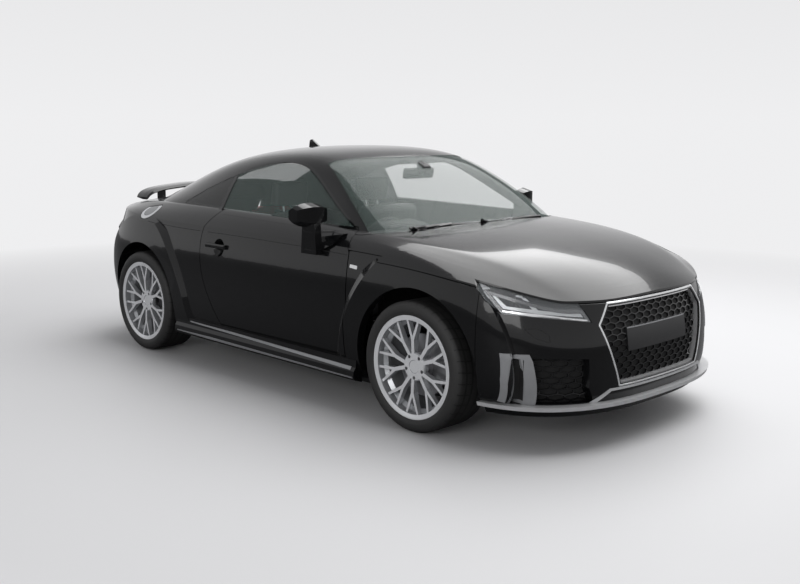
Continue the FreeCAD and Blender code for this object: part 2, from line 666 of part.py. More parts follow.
tunnel_runs = straight([(-tunnel_y, cabin_floor_z), (-tunnel_top_y, tunnel_z), (tunnel_top_y, tunnel_z),
                        (tunnel_y, cabin_floor_z)])
floor_pan = floor_pan.fuse(front_prism(tunnel_runs, riser_x, toe_x))
floor_pan = floor_pan.common(lower_tub(bumper_wall + 2 * seat_gap + rear_panel_wall))
save("floor_pan", largest(floor_pan))
panel_layer = tub_layer(bumper_wall + seat_gap, bumper_wall + seat_gap + rear_panel_wall)
striker_x = -2040.0
striker_half = 20.0
rear_panel = panel_layer.common(box(tail_x, bumper_rear_x - overrun / 4, -diffuser_y, diffuser_y,
                                    diffuser_top_z + seat_gap, bumper_rear_top_z - moving_gap))
striker = panel_layer.common(box(striker_x - striker_half, tail_x / 2, -striker_half, striker_half,
                                 bumper_rear_top_z - 4 * moving_gap, hatch_bottom_z - seat_gap))
rear_panel = rear_panel.fuse(striker)
save("rear_panel", largest(rear_panel))
print("floor", floor_pan.isValid(), rear_panel.isValid(), len(rear_panel.Solids))

# Front frame: two rails, strut towers, upper rails inside the wings and a nose beam
rail_inner_y = 350.0
rail_outer_y = 440.0
rail_z = 400.0
rail_height = 110.0
rail_top_z = rail_z + rail_height
beam_x = 1880.0
beam_depth = 60.0
bracket_top_z = 598.0
tower_half = 95.0
tower_top_z = 790.0
tower_wall = 30.0
strut_radius = 28.0
well_top_z = tyre_radius + arch_radius
upper_rail_width = 55.0
upper_rail_kink_x = 1310.0
upper_rail_start_x = bulkhead_x + bulkhead_wall + panel_gap
upper_rail_top = from_side(((0.581, 0.582), (0.668, 0.551), (0.725, 0.521), (0.725, 0.492), (0.668, 0.517)))
upper_rail_runs = straight([(upper_rail_start_x, tower_top_z)] + upper_rail_top + [
    (upper_rail_kink_x, well_top_z + 2 * moving_gap), (upper_rail_start_x, well_top_z + 2 * moving_gap)])
upper_rail = tub_layer(skin_wall + seat_gap, skin_wall + seat_gap + upper_rail_width)
upper_rail = upper_rail.common(side_prism(upper_rail_runs, 0, width))
rail = box(bulkhead_x + bulkhead_wall, beam_x + beam_depth / 2, rail_inner_y, rail_outer_y, rail_z, rail_top_z)
tower_x0 = front_axle_x - tower_half
tower_x1 = front_axle_x + tower_half
tower_side = box(tower_x0, tower_x1, rail_outer_y - tower_wall, rail_outer_y, rail_z, tower_top_z)
tower_top = box(tower_x0, tower_x1, rail_outer_y - tower_wall, half_width - skin_wall * 4,
                tower_top_z - tower_wall, tower_top_z)
bracket = box(beam_x, nose_x, rail_outer_y, rail_outer_y + floor_wall, rail_top_z - seat_gap, bracket_top_z)
bracket = bracket.fuse(box(beam_x, beam_x + beam_depth, rail_inner_y, rail_outer_y + floor_wall, rail_z,
                           bracket_top_z))
bracket = bracket.common(lower_tub(bumper_wall + seat_gap))
half_frame = rail.fuse([upper_rail, tower_side, tower_top, bracket]).cut(front_well)
beam = box(beam_x, beam_x + beam_depth, -rail_inner_y, rail_inner_y, rail_z, rail_top_z)
front_frame = half_frame.fuse([mirrored(half_frame), beam])
front_frame = front_frame.common(under_deck(bonnet_wall + moving_gap))
buffer_y = 690.0
buffer_radius = 14.0
buffer_foot = Vector(tower_x1 - 2 * buffer_radius, buffer_y, tower_top_z - tower_wall / 2)
buffer = rod(buffer_radius, buffer_foot, buffer_foot + Vector(0, 0, height))
buffer = buffer.common(under_deck(bonnet_wall + seat_gap))
front_frame = front_frame.fuse([buffer, mirrored(buffer)])
grille_back = bumper_wall + seat_gap
mesh_wall = 12.0
mesh_border = 8.0
mesh_room = tub_layer(grille_back - seat_gap * 2, grille_back + mesh_wall + seat_gap).common(
    front_prism(grille_runs, bumper_front_x, nose_x, mesh_border + seat_gap))
front_frame = front_frame.cut(mesh_room)
save("front_frame", largest(front_frame))
print("front frame", front_frame.isValid(), len(front_frame.Solids))

# Wheels: a barrel with ten forked spokes between a five-bolt hub and the rim
rim_seat_radius = 241.0
rim_wall = 7.0
rim_half = rim_width / 2
flange_wall = 8.0
drop_radius = 214.0
drop_half = 52.0
drop_slope = 14.0
spoke_count = 10
hub_radius = 72.0
hub_face_y = 62.0
hub_depth = 26.0
hub_edge = 6.0
cap_depth = 3.0
bolt_circle_radius = 56.0
bolt_count = 5
bolt_hole_radius = 9.0
centre_bore_radius = 28.0
spoke_stem_half = 9.5
spoke_branch_half = 8.0
spoke_tip_half = 6.0
spoke_root_radius = 58.0
fork_radius = 132.0
spoke_end_radius = rim_seat_radius - rim_wall / 2
fork_angle = math.radians(9.2)
stem_spread = math.radians(14.0)
spoke_face_y = 88.0
spoke_fork_face_y = 91.0
spoke_rim_face_y = 99.0
spoke_depth = 32.0
spoke_rim_depth = 22.0


def spoke_bar(start, end, start_half, end_half):
    # A tapered bar between two (x, z) points, long enough across the wheel to be trimmed
    run_x, run_z = end[0] - start[0], end[1] - start[1]
    size = math.hypot(run_x, run_z)
    side_x, side_z = -run_z / size, run_x / size
    points = [
        (start[0] + side_x * start_half, start[1] + side_z * start_half),
        (end[0] + side_x * end_half, end[1] + side_z * end_half),
        (end[0] - side_x * end_half, end[1] - side_z * end_half),
        (start[0] - side_x * start_half, start[1] - side_z * start_half),
    ]
    return side_prism(straight(points), -rim_width, rim_width)


def forked_spoke(root_angle, tip_angle):
    fork = polar(fork_radius, (root_angle + tip_angle) / 2)
    root = polar(spoke_root_radius, root_angle)
    spoke = [spoke_bar(root, fork, spoke_stem_half, spoke_stem_half)]
    for side in (-1, 1):
        tip = polar(spoke_end_radius, tip_angle + side * fork_angle)
        spoke.append(spoke_bar(fork, tip, spoke_branch_half, spoke_tip_half))
    return spoke


def alloy_wheel():
    # Left wheel, centred, with its outer face towards +Y
    inner_seat = rim_seat_radius - rim_wall
    inner_drop_half = drop_half + rim_wall / 2
    inner_slope_half = drop_half + drop_slope + rim_wall / 2
    barrel = revolved([
        (rim_radius, rim_half), (rim_radius, rim_half - flange_wall),
        (rim_seat_radius, rim_half - flange_wall), (rim_seat_radius, drop_half + drop_slope),
        (drop_radius + rim_wall, drop_half), (drop_radius + rim_wall, -drop_half),
        (rim_seat_radius, -drop_half - drop_slope), (rim_seat_radius, flange_wall - rim_half),
        (rim_radius, flange_wall - rim_half), (rim_radius, -rim_half), (inner_seat, -rim_half),
        (inner_seat, -inner_slope_half), (drop_radius, -inner_drop_half), (drop_radius, inner_drop_half),
        (inner_seat, inner_slope_half), (inner_seat, rim_half - flange_wall / 2),
        (rim_radius - flange_wall / 2, rim_half)])
    spoke_reach = spoke_end_radius + rim_wall / 3
    dish = revolved([
        (hub_radius / 2, hub_face_y + hub_depth), (hub_radius, spoke_face_y),
        (fork_radius, spoke_fork_face_y), (spoke_reach, spoke_rim_face_y),
        (spoke_reach, spoke_rim_face_y - spoke_rim_depth), (fork_radius, spoke_fork_face_y - spoke_depth),
        (hub_radius, hub_face_y), (hub_radius / 2, hub_face_y)])
    spokes = []
    for index in range(spoke_count):
        tip = 2 * math.pi * index / spoke_count
        lean = stem_spread / 2 if index % 2 else -stem_spread / 2
        spokes += forked_spoke(tip + lean, tip)
    star = spokes[0].fuse(spokes[1:]).common(dish)
    hub_front_y = hub_face_y + hub_depth
    hub = revolved([
        (0, hub_face_y), (hub_radius, hub_face_y), (hub_radius, spoke_face_y - hub_edge),
        (hub_radius - hub_edge, spoke_face_y), (centre_bore_radius + hub_edge, hub_front_y),
        (centre_bore_radius + cap_depth, hub_front_y - cap_depth), (0, hub_front_y - cap_depth)])
    holes = []
    for index in range(bolt_count):
        x, z = polar(bolt_circle_radius, 2 * math.pi * (index + 0.5) / bolt_count)
        holes.append(cylinder_y(x, z, bolt_hole_radius, hub_face_y - panel_gap, hub_front_y + hub_depth))
    return hub.fuse(star).cut(holes).fuse(barrel)


sidewall_shares = ((0.50, 0.45), (0.48, 0.72), (0.435, 0.92))
tread_edge_y = 88.5
tread_drop = 1.2


def tyre():
    bead = rim_seat_radius + seat_gap
    bead_y = rim_half - flange_wall - seat_gap
    flange_top = rim_radius + seat_gap
    rise = tyre_radius - rim_radius
    bulge = (rim_half + panel_gap / 3, flange_top + panel_gap / 2)
    side = [bulge] + [(across * tyre_width, rim_radius + up * rise) for across, up in sidewall_shares]
    side.append((tread_edge_y, tyre_radius - tread_drop))
    tread = [side[-1], (0.0, tyre_radius), (-side[-1][0], side[-1][1])]
    right = [(bead_y, bead), (bead_y, flange_top), bulge]
    runs = [right[:2], right[1:], side, tread]
    runs += [[(-y, radius) for y, radius in run[::-1]] for run in (side, right[1:], right[:2])]
    runs.append([(-bead_y, bead), (bead_y, bead)])
    face = outline_face(runs, lambda side_y, radius: Vector(0, side_y, radius))
    return face.revolve(Vector(0, 0, 0), Vector(0, 1, 0), 360)


# Brake discs with bells that reach the wheels' hub pads
disc_y = 12.0
bell_wall = 8.0
front_disc_radius = 156.0
front_disc_wall = 28.0
rear_disc_radius = 150.0
rear_disc_wall = 20.0
corners = (
    ("front_left", front_axle_x, front_track / 2, front_disc_radius, front_disc_wall),
    ("front_right", front_axle_x, -front_track / 2, front_disc_radius, front_disc_wall),
    ("rear_left", rear_axle_x, rear_track / 2, rear_disc_radius, rear_disc_wall),
    ("rear_right", rear_axle_x, -rear_track / 2, rear_disc_radius, rear_disc_wall),
)


def disc(radius, wall):
    face_y = hub_face_y - seat_gap
    return revolved([
        (centre_bore_radius, face_y), (hub_radius, face_y), (hub_radius, disc_y + wall / 2),
        (radius, disc_y + wall / 2), (radius, disc_y - wall / 2), (hub_radius - bell_wall, disc_y - wall / 2),
        (hub_radius - bell_wall, face_y - bell_wall), (centre_bore_radius, face_y - bell_wall)])


def at_corner(shape, x, y):
    placed = shape.copy() if y > 0 else mirrored(shape)
    placed.translate(Vector(x, y, tyre_radius))
    return placed


left_wheel = alloy_wheel()
left_tyre = tyre()
for corner, x, y, disc_radius, disc_wall in corners:
    save("wheel_" + corner, at_corner(left_wheel, x, y))
    save("tyre_" + corner, at_corner(left_tyre, x, y))
    save("brake_disc_" + corner, at_corner(disc(disc_radius, disc_wall), x, y))
print("wheel", left_wheel.isValid(), len(left_wheel.Solids), "tyre", left_tyre.isValid())

# Knuckles: bearing, caliper bridge over the disc and arms to the strut and the ball joint
stub_radius = centre_bore_radius - seat_gap
bearing_radius = 58.0
bearing_back_y = -70.0
caliper_outer = 196.0
caliper_depth = 102.0
caliper_half = math.radians(26.0)
caliper_wall = 24.0
caliper_back_wall = 38.0
knuckle_arm_half = 26.0
knuckle_arm_depth = 44.0
knuckle_head = 170.0
knuckle_foot = 138.0
caliper_arm_end_half = 42.0
front_caliper_angle = math.radians(-78.0)
rear_caliper_angle = math.radians(80.0)


def caliper(disc_radius, disc_wall, angle):
    slot_half = disc_wall / 2 + moving_gap
    inner_y = disc_y - slot_half - caliper_back_wall
    outer_y = disc_y + slot_half + caliper_wall
    foot_radius = caliper_outer - caliper_depth
    block = revolved([(foot_radius, inner_y), (caliper_outer, inner_y), (caliper_outer, outer_y),
                      (foot_radius, outer_y)])
    slot = revolved([(hub_radius, disc_y - slot_half), (disc_radius + moving_gap, disc_y - slot_half),
                     (disc_radius + moving_gap, disc_y + slot_half), (hub_radius, disc_y + slot_half)])
    wedge_points = [(0.0, 0.0), polar(caliper_outer * 2, angle - caliper_half),
                    polar(caliper_outer * 2, angle + caliper_half)]
    wedge = side_prism(straight(wedge_points), -rim_width, rim_width)
    return block.cut(slot).common(wedge)


def knuckle(disc_radius, disc_wall, angle):
    disc_back_y = disc_y - disc_wall / 2 - moving_gap
    stub_end_y = hub_face_y - panel_gap
    inner_y = disc_back_y - caliper_back_wall
    bearing = revolved([(0, bearing_back_y), (bearing_radius, bearing_back_y), (bearing_radius, disc_back_y),
                        (stub_radius, disc_back_y), (stub_radius, stub_end_y), (0, stub_end_y)])
    upright = box(-knuckle_arm_half, knuckle_arm_half, bearing_back_y, bearing_back_y + knuckle_arm_depth,
                  -knuckle_foot, knuckle_head)
    reach_x, reach_z = polar(caliper_outer - caliper_wall / 2, angle)
    arm = spoke_bar((0.0, 0.0), (reach_x, reach_z), knuckle_arm_half, caliper_arm_end_half)
    arm = arm.common(box(-rim_width, rim_width, inner_y - caliper_wall / 2, inner_y + caliper_wall / 2,
                         -rim_width, rim_width))
    return bearing.fuse([upright, arm, caliper(disc_radius, disc_wall, angle)])


# Kingpin: an inclined line from the lower ball joint to the strut's top mount
ball_joint_y = 725.0
ball_joint_z = 165.0
ball_radius = 12.0
strut_top_y = 575.0
strut_top_z = tower_top_z - tower_wall - seat_gap
kingpin_lean = (ball_joint_y - strut_top_y) / (strut_top_z - ball_joint_z)
strut_foot_z = 385.0
spring_foot_z = 672.0
spring_radius = 50.0
strut_rod_radius = 24.0
wishbone_top_z = 176.7
wishbone_wall = 22.0


def on_kingpin(z):
    return Vector(front_axle_x, ball_joint_y - kingpin_lean * (z - ball_joint_z), z)


ball_pin_z = wishbone_top_z + seat_gap + ball_radius * kingpin_lean
front_knuckle = at_corner(knuckle(front_disc_radius, front_disc_wall, front_caliper_angle), front_axle_x,
                          front_track / 2)
strut = rod(strut_rod_radius, on_kingpin(strut_foot_z), on_kingpin(strut_top_z - 2 * moving_gap))
spring = rod(spring_radius, on_kingpin(spring_foot_z), on_kingpin(strut_top_z - 4 * moving_gap))
ball_pin = rod(ball_radius, on_kingpin(ball_pin_z), on_kingpin(tyre_radius - knuckle_foot + ball_radius))
strut_arm = box(front_axle_x - knuckle_arm_half, front_axle_x + knuckle_arm_half,
                ball_joint_y - strut_radius * 2, ball_joint_y + strut_radius, strut_foot_z + panel_gap,
                strut_foot_z + 3 * strut_radius)
front_knuckle = front_knuckle.fuse([strut, spring, strut_arm, ball_pin])
save_pair("knuckle", front_knuckle)
print("knuckle", front_knuckle.isValid(), len(front_knuckle.Solids))

# Front subframe with a wishbone under each knuckle
subframe_wall = 45.0
subframe_half_x = 150.0
wishbone_root_y = 396.0
wishbone_tip_y = ball_joint_y + strut_radius / 2
wishbone_neck_y = ball_joint_y - strut_radius / 2
wishbone_runs = straight([
    (front_axle_x - subframe_half_x, wishbone_root_y), (front_axle_x + subframe_half_x, wishbone_root_y),
    (front_axle_x + strut_radius, wishbone_neck_y), (front_axle_x + strut_radius / 2, wishbone_tip_y),
    (front_axle_x - strut_radius / 2, wishbone_tip_y), (front_axle_x - strut_radius, wishbone_neck_y)])
wishbone = plan_prism(wishbone_runs, wishbone_top_z - wishbone_wall, wishbone_top_z)
subframe = box(front_axle_x - subframe_half_x, front_axle_x + subframe_half_x, -rail_outer_y, rail_outer_y,
               wishbone_top_z - wishbone_wall + seat_gap, wishbone_top_z + subframe_wall)
hangers = []
for hanger_x in (front_axle_x - subframe_half_x, front_axle_x + subframe_half_x - tower_wall):
    hanger = box(hanger_x, hanger_x + tower_wall, rail_inner_y, rail_outer_y, wishbone_top_z + subframe_wall,
                 rail_z - seat_gap)
    hangers += [hanger, mirrored(hanger)]
subframe = subframe.fuse([wishbone, mirrored(wishbone)] + hangers)
save("front_subframe", subframe)

# Rear axle: a beam with arms, the rear knuckles and the spring struts up to the body
rear_beam_half_x = 60.0
rear_beam_z = 215.0
rear_beam_height = 80.0
rear_arm_height = 40.0
rear_knuckle = at_corner(knuckle(rear_disc_radius, rear_disc_wall, rear_caliper_angle), rear_axle_x,
                         rear_track / 2)
rear_arm = box(rear_axle_x - knuckle_arm_half, rear_axle_x + knuckle_arm_half, 0,
               rear_track / 2 - bearing_radius / 2, rear_beam_z, rear_beam_z + rear_arm_height)
rear_beam = box(rear_axle_x - rear_beam_half_x, rear_axle_x + rear_beam_half_x, -boot_half, boot_half,
                rear_beam_z, rear_beam_z + rear_beam_height)
rear_strut_foot = Vector(rear_axle_x, boot_half - spring_radius * 1.5, rear_beam_z)
rear_strut_head = Vector(rear_axle_x, rear_strut_foot.y, boot_floor_z - floor_wall - seat_gap)
rear_half = rear_knuckle.fuse([rear_arm, rod(spring_radius, rear_strut_foot, rear_strut_head)])
rear_axle = rear_half.fuse([mirrored(rear_half), rear_beam])
save("rear_axle", rear_axle)
print("axles", subframe.isValid(), len(subframe.Solids), rear_axle.isValid(), len(rear_axle.Solids))

# Engine with its cover, and the radiator behind the grille
engine_half_y = 330.0
engine_front_x = 1560.0
engine_rear_x = 1040.0
engine_z = 250.0
engine_top_z = 690.0
engine_cover_wall = 60.0
cover_half_y = 264.0
engine = box(engine_rear_x, engine_front_x, -engine_half_y, engine_half_y, engine_z, engine_top_z)
cover = box(engine_rear_x + engine_cover_wall, engine_front_x - engine_cover_wall, -cover_half_y,
            cover_half_y, engine_top_z, engine_top_z + engine_cover_wall)
between_rails = rail_inner_y - seat_gap
mount = box(engine_rear_x + subframe_half_x, engine_front_x - subframe_half_x, -between_rails, between_rails,
            rail_z, rail_top_z)
save("engine_block", engine.fuse([cover, mount]))
radiator = box(beam_x - floor_wall - seat_gap, beam_x - seat_gap, -between_rails, between_rails, engine_z,
               engine_top_z - floor_wall)
save("radiator", radiator)

# Nose pieces: grille meshes, bright frame, plate holder, lamps, splitter and blades
frame_inset = 10.0
frame_band = 8.0
plate_inset = 22.0
plate_z = 501.0
plate_half_y = 260.0
plate_half_z = 56.0
mesh_layer = tub_layer(grille_back, grille_back + mesh_wall)
main_mesh = largest(mesh_layer.common(front_prism(grille_runs, bumper_front_x, nose_x, mesh_border)))
intake_mesh = mesh_layer.common(front_prism(intake_runs, bumper_front_x + 2 * moving_gap, nose_x, mesh_border))
intake_mesh = largest(intake_mesh.cut(front_well))
save("grille", Part.makeCompound([main_mesh, intake_mesh, mirrored(intake_mesh)]))
grille_frame = tub_layer(frame_inset, bumper_wall)
grille_frame = grille_frame.common(front_prism(grille_runs, bumper_front_x, nose_x + overrun, -seat_gap))
grille_frame = grille_frame.cut(front_prism(grille_runs, bumper_front_x, nose_x + overrun, -frame_band))
save("grille_frame", largest(grille_frame))
plate_holder = tub_layer(plate_inset, bumper_wall).common(
    box(beam_x, nose_x + overrun, -plate_half_y, plate_half_y, plate_z - plate_half_z, plate_z + plate_half_z))
save("plate_holder", largest(plate_holder))
lamp_depth = 110.0
lamp_wall = 24.0
lamp_fit = lamp_prism(lamp_start_x)
lens = largest(lower.cut(lower_tub(glass_wall)).common(under_hem).common(lamp_fit))
save_both("headlamp_lenses", lens)
lamp_body = tub_layer(glass_wall + seat_gap, lamp_depth)
lamp_body = lamp_body.common(lamp_prism(lamp_start_x, panel_gap - seat_gap))
lamp_body = lamp_body.common(under_deck(bonnet_wall + moving_gap))
lamp_bowl = tub_layer(0, lamp_depth - lamp_wall).common(lamp_prism(lamp_start_x + mesh_wall, -mesh_wall))
lamp_bowl = lamp_bowl.common(under_deck(bonnet_wall + mesh_wall + moving_gap))
lamp_body = largest(lamp_body.cut(lamp_bowl))
save_both("headlamps", lamp_body)
lip_z = 208.0
lip_top_z = 228.0
branch_proud = 4.0
branch_shares = ((0.0, 0.211), (0.437, 0.213), (0.546, 0.171), (0.513, 0.165), (0.428, 0.204), (0.0, 0.2025))
branch_runs = straight(from_front(branch_shares))
nose_low_x = first_hit(tub, Vector(nose_x + overrun, 0, lip_top_z), Vector(0, 0, lip_top_z)).x
arch_room = [arch_ring(front_axle_x, half_width + seat_gap)]
arch_room.append(mirrored(arch_room[0]))
splitter_x = bumper_front_x + panel_gap
lip = tub_layer(nose_low_x - nose_x, -seat_gap)
lip = lip.common(box(splitter_x, nose_x + overrun, -width, width, lip_z, lip_top_z))
branch = tub_layer(-branch_proud, -seat_gap).common(front_prism(branch_runs, beam_x, nose_x + overrun))
splitter = lip.fuse([branch, mirrored(branch)]).cut(wells + arch_room)
splitter = splitter.cut(box(splitter_x, nose_x + overrun, -width, width, lip_z - overrun, lip_z))
save("front_splitter", largest(splitter))
blade = tub_layer(-branch_proud, bumper_wall - seat_gap)
blade = blade.common(front_prism(blade_runs, bumper_front_x, nose_x)).cut(front_well)
save_both("intake_blades", largest(blade))
print("nose", len(splitter.Solids), len(blade.Solids), lens.isValid(), lamp_body.isValid(), nose_low_x)

# Door mirrors on a foot on the shoulder, and pull handles over a bowl
mirror_x = 452.0
mirror_y = 904.0
mirror_z = 1018.0
mirror_half = (58.0, 79.0, 62.0)
mirror_neck_shares = ((0.190, 0.600), (0.250, 0.600), (0.244, 0.720), (0.196, 0.720))
mirror_base_shares = ((0.201, 0.658), (0.302, 0.684), (0.291, 0.647), (0.257, 0.620), (0.212, 0.621))
mirror_base_wall = 22.0
handle_x0 = -536.0
handle_x1 = -334.0
handle_z = 770.0
handle_half = 13.0
handle_edge = 10.0
handle_proud = 20.0
bowl_x = -412.0
bowl_radius = 75.0
bowl_depth = 22.0
mirror_outline_shares = ((-1.0, -0.55), (-0.2, -1.0), (1.0, -0.62), (1.0, 0.72), (-0.1, 1.0), (-1.0, 0.62))
mirror_shares = ((-1.0, 0.80, -0.35), (-0.4, 1.0, -0.2), (0.45, 0.96, 0.1), (1.0, 0.62, 0.45))


def mirror_section(side_share, size_share, back_share):
    points = []
    for along_share, high_share in mirror_outline_shares:
        points.append(Vector(mirror_x + (along_share * size_share - back_share) * mirror_half[0],
                             mirror_y + side_share * mirror_half[1],
                             mirror_z + high_share * size_share * mirror_half[2]))
    return Part.makePolygon(points + points[:1])


mirror = Part.makeLoft([mirror_section(*row) for row in mirror_shares], True, False)
neck_y0 = mirror_y - mirror_half[1] / 2
neck = side_prism(straight(from_side(mirror_neck_shares)), neck_y0, neck_y0 + 2 * mirror_base_wall)
shoulder_inner = under_deck(skin_wall).common(tub_skin)
mirror_base = side_prism(straight(from_side(mirror_base_shares)), door_inner_y, width)
mirror_base = mirror_base.common(lower_tub(-mirror_base_wall)).common(under_deck(-mirror_base_wall))
mirror_foot = neck.fuse(mirror_base).cut(shoulder_inner)
mirror_foot = mirror_foot.cut(canopy(-moving_gap))
door_face_y = first_hit(tub, Vector(bowl_x, width, handle_z), Vector(bowl_x, 0, handle_z)).y
bowl = Part.makeSphere(bowl_radius, Vector(bowl_x, door_face_y + bowl_radius - bowl_depth, handle_z))
handle = box(handle_x0, handle_x1, door_face_y, door_face_y + handle_proud, handle_z - handle_half,
             handle_z + handle_half)
handle = handle.makeFillet(handle_edge, [edge for edge in handle.Edges
                                         if edge.BoundBox.YMin > door_face_y + handle_proud / 2])
handle_feet = [box(start, start + 2 * handle_half, door_face_y - handle_proud, door_face_y + seat_gap,
                   handle_z - handle_half / 2, handle_z + handle_half / 2)
               for start in (handle_x0, handle_x1 - 2 * handle_half)]
door = door.cut(bowl).fuse([mirror, mirror_foot, handle] + handle_feet)
save_pair("door", largest(door))
print("door", door.isValid(), len(door.Solids), door_face_y)

# Rear wing on two struts, carried by the tailgate: side place, height, chord and wall shares
wing_shares = ((0.0, 0.772, 1.0, 1.0), (0.360, 0.769, 0.989, 1.0), (0.546, 0.755, 0.966, 0.923),
               (0.639, 0.733, 0.921, 0.769), (0.671, 0.714, 0.831, 0.615))
wing_outline_shares = ((0.0, 0.0), (0.12, 0.55), (0.45, 0.62), (1.0, 0.45), (1.0, 0.25), (0.5, -0.38),
                       (0.12, -0.42))
wing_nose_x = -1640.0
wing_chord = 178.0
wing_wall = 26.0
wing_strut_y = 455.0
wing_strut_half = 13.0
wing_strut_x0 = -1760.0
wing_strut_x1 = -1690.0
wing_strut_z0 = 818.0
wing_strut_z1 = 1031.0


def wing_section(side, high, chord_share, wall_share):
    points = [Vector(wing_nose_x - run * chord_share * wing_chord, side * half_width,
                     high * height + rise * wall_share * wing_wall) for run, rise in wing_outline_shares]
    return Part.makePolygon(points + points[:1])


wing_rows = [(-row[0],) + row[1:] for row in wing_shares[:0:-1]] + list(wing_shares)
rear_wing = Part.makeLoft([wing_section(*row) for row in wing_rows], True, False)
wing_strut = box(wing_strut_x0, wing_strut_x1, wing_strut_y - wing_strut_half, wing_strut_y + wing_strut_half,
                 wing_strut_z0, wing_strut_z1)
wing_strut = wing_strut.cut(deck).cut(roof_skin)
rear_wing = rear_wing.fuse([wing_strut, mirrored(wing_strut)])
save("rear_wing", rear_wing)
print("rear wing", rear_wing.isValid(), len(rear_wing.Solids), tailgate.distToShape(rear_wing)[0])

# Round fuel flap in the right shoulder, hinged at its front
flap_x = -1290.0
flap_y = -800.0
flap_radius = 80.0
flap_wall = 12.0
flap_stop_radius = 16.0
flap_lean = math.radians(46.0)
flap_normal = Vector(0, -math.sin(flap_lean), math.cos(flap_lean))
flap_centre = first_hit(deck, Vector(flap_x, flap_y, height * 2), Vector(flap_x, flap_y, 0))


def flap_cylinder(radius, depth):
    return rod(radius, flap_centre - flap_normal * depth, flap_centre + flap_normal * arch_depth)


flap = body.common(flap_cylinder(flap_radius, flap_wall))
right_frame = mirrored(frame).cut(flap_cylinder(flap_radius + moving_gap, flap_wall + moving_gap))
flap_stop = flap_cylinder(flap_stop_radius, flap_wall + 2 * moving_gap).cut(
    flap_cylinder(flap_radius, flap_wall + seat_gap))
right_frame = right_frame.fuse(flap_stop)
save("side_frame_left", largest(frame))
save("side_frame_right", largest(right_frame))
save("fuel_flap", largest(flap))
print("flap", flap.isValid(), len(flap.Solids), right_frame.isValid(), len(right_frame.Solids), flap_centre)

# Roof panel with its shark-fin aerial
aerial_shares = ((-0.296, 0.983), (-0.292, 1.018), (-0.285, 1.024), (-0.278, 1.020), (-0.238, 0.983))
aerial_half = 7.0
aerial = side_prism(straight(from_side(aerial_shares)), -aerial_half, aerial_half).cut(roof_glass)
roof = roof.fuse(aerial)
save("roof", largest(roof))

# Sills and exhaust
skirt_shares = ((0.924, 0.124), (0.976, 0.135), (0.991, 0.151), (0.987, 0.171), (0.972, 0.185),
                (0.967, 0.213), (0.924, 0.213))
skirt_front_x = front_axle_x - arch_radius - 3 * moving_gap
skirt_rear_x = rear_axle_x + arch_radius + 3 * moving_gap
skirt = front_prism(straight(from_front(skirt_shares)), skirt_rear_x, skirt_front_x)
skirt = largest(skirt.cut(lower_tub(-seat_gap)).cut(lower))
save_both("side_skirts", skirt)
pipe_radius = 20.0
pipe_z = floor_z - pipe_radius - seat_gap
pipe_front_x = 900.0
silencer_x0 = -1860.0
silencer_x1 = -1700.0
silencer_z = 198.0
tip_y = 470.0
tip_radius = 46.0
tip_wall = 4.0
tip_z = 262.0
tip_end_x = tail_x + 4 * tip_wall
tip_bore_end_x = tail_x + overrun / 4
silencer = box(silencer_x0, silencer_x1, -tip_y - tip_radius, tip_y + tip_radius, silencer_z,
               tip_z + tip_radius)
pipe = rod(pipe_radius, Vector(silencer_x1 - panel_gap, 0, pipe_z), Vector(pipe_front_x, 0, pipe_z))
pipe_neck = box(silencer_x1 - 2 * pipe_radius, silencer_x1 + 2 * pipe_radius, -pipe_radius, pipe_radius,
                pipe_z, tip_z)
exhaust = silencer.fuse([pipe, pipe_neck])
tip_rooms = []
for side_y in (-tip_y, tip_y):
    tip = rod(tip_radius, Vector(tip_end_x, side_y, tip_z), Vector(silencer_x0, side_y, tip_z))
    bore = rod(tip_radius - tip_wall, Vector(tail_x, side_y, tip_z), Vector(tip_bore_end_x, side_y, tip_z))
    exhaust = exhaust.fuse(tip).cut(bore)
    tip_rooms.append(rod(tip_radius + seat_gap, Vector(tail_x - overrun, side_y, tip_z),
                         Vector(silencer_x1, side_y, tip_z)))
save("exhaust", exhaust)
diffuser = diffuser.cut(tip_rooms)
save("rear_diffuser", largest(diffuser))
print("exhaust", exhaust.isValid(), len(exhaust.Solids), len(diffuser.Solids), len(skirt.Solids))

# Cabin: dashboard, steering wheel, seats
dash_half = door_inner_y - moving_gap
dash_back_x = bulkhead_x - seat_gap
dash_shares = ((0.305, 0.684), (0.260, 0.654), (0.243, 0.613), (0.260, 0.547), (0.282, 0.488), (0.286, 0.414))
dash_points = from_side(dash_shares)
dash_top_z = 905.0
dash_runs = straight([(dash_back_x, dash_points[-1][1]), (dash_back_x, dash_top_z)] + dash_points)
dash = side_prism(dash_runs, -dash_half, dash_half)
steer_centre = Vector(420.0, -350.0, 800.0)
steer_lean = math.radians(25.0)
steer_axis = Vector(-math.cos(steer_lean), 0, math.sin(steer_lean))
steer_radius = 178.0
grip_radius = 14.0
steer_hub_radius = 62.0
steer_hub_wall = 30.0
steer_pin_radius = 21.0
steer_bar_half = 17.0
steer_bar_back = 22.0
steer_bar_front = 8.0
column_radius = 30.0
column_length = 140.0
column_drop = 36.0
column_foot = steer_centre - steer_axis * column_drop
column = rod(column_radius, column_foot, column_foot - steer_axis * column_length)
save("dashboard", dash.fuse(column))
grip = Part.makeTorus(steer_radius, grip_radius, steer_centre, steer_axis)
hub_back = steer_centre - steer_axis * steer_hub_wall
steer_hub = rod(steer_hub_radius, hub_back, steer_centre)
steer_pin = rod(steer_pin_radius, column_foot + steer_axis * seat_gap, hub_back + steer_axis * panel_gap)
steer_bars = []
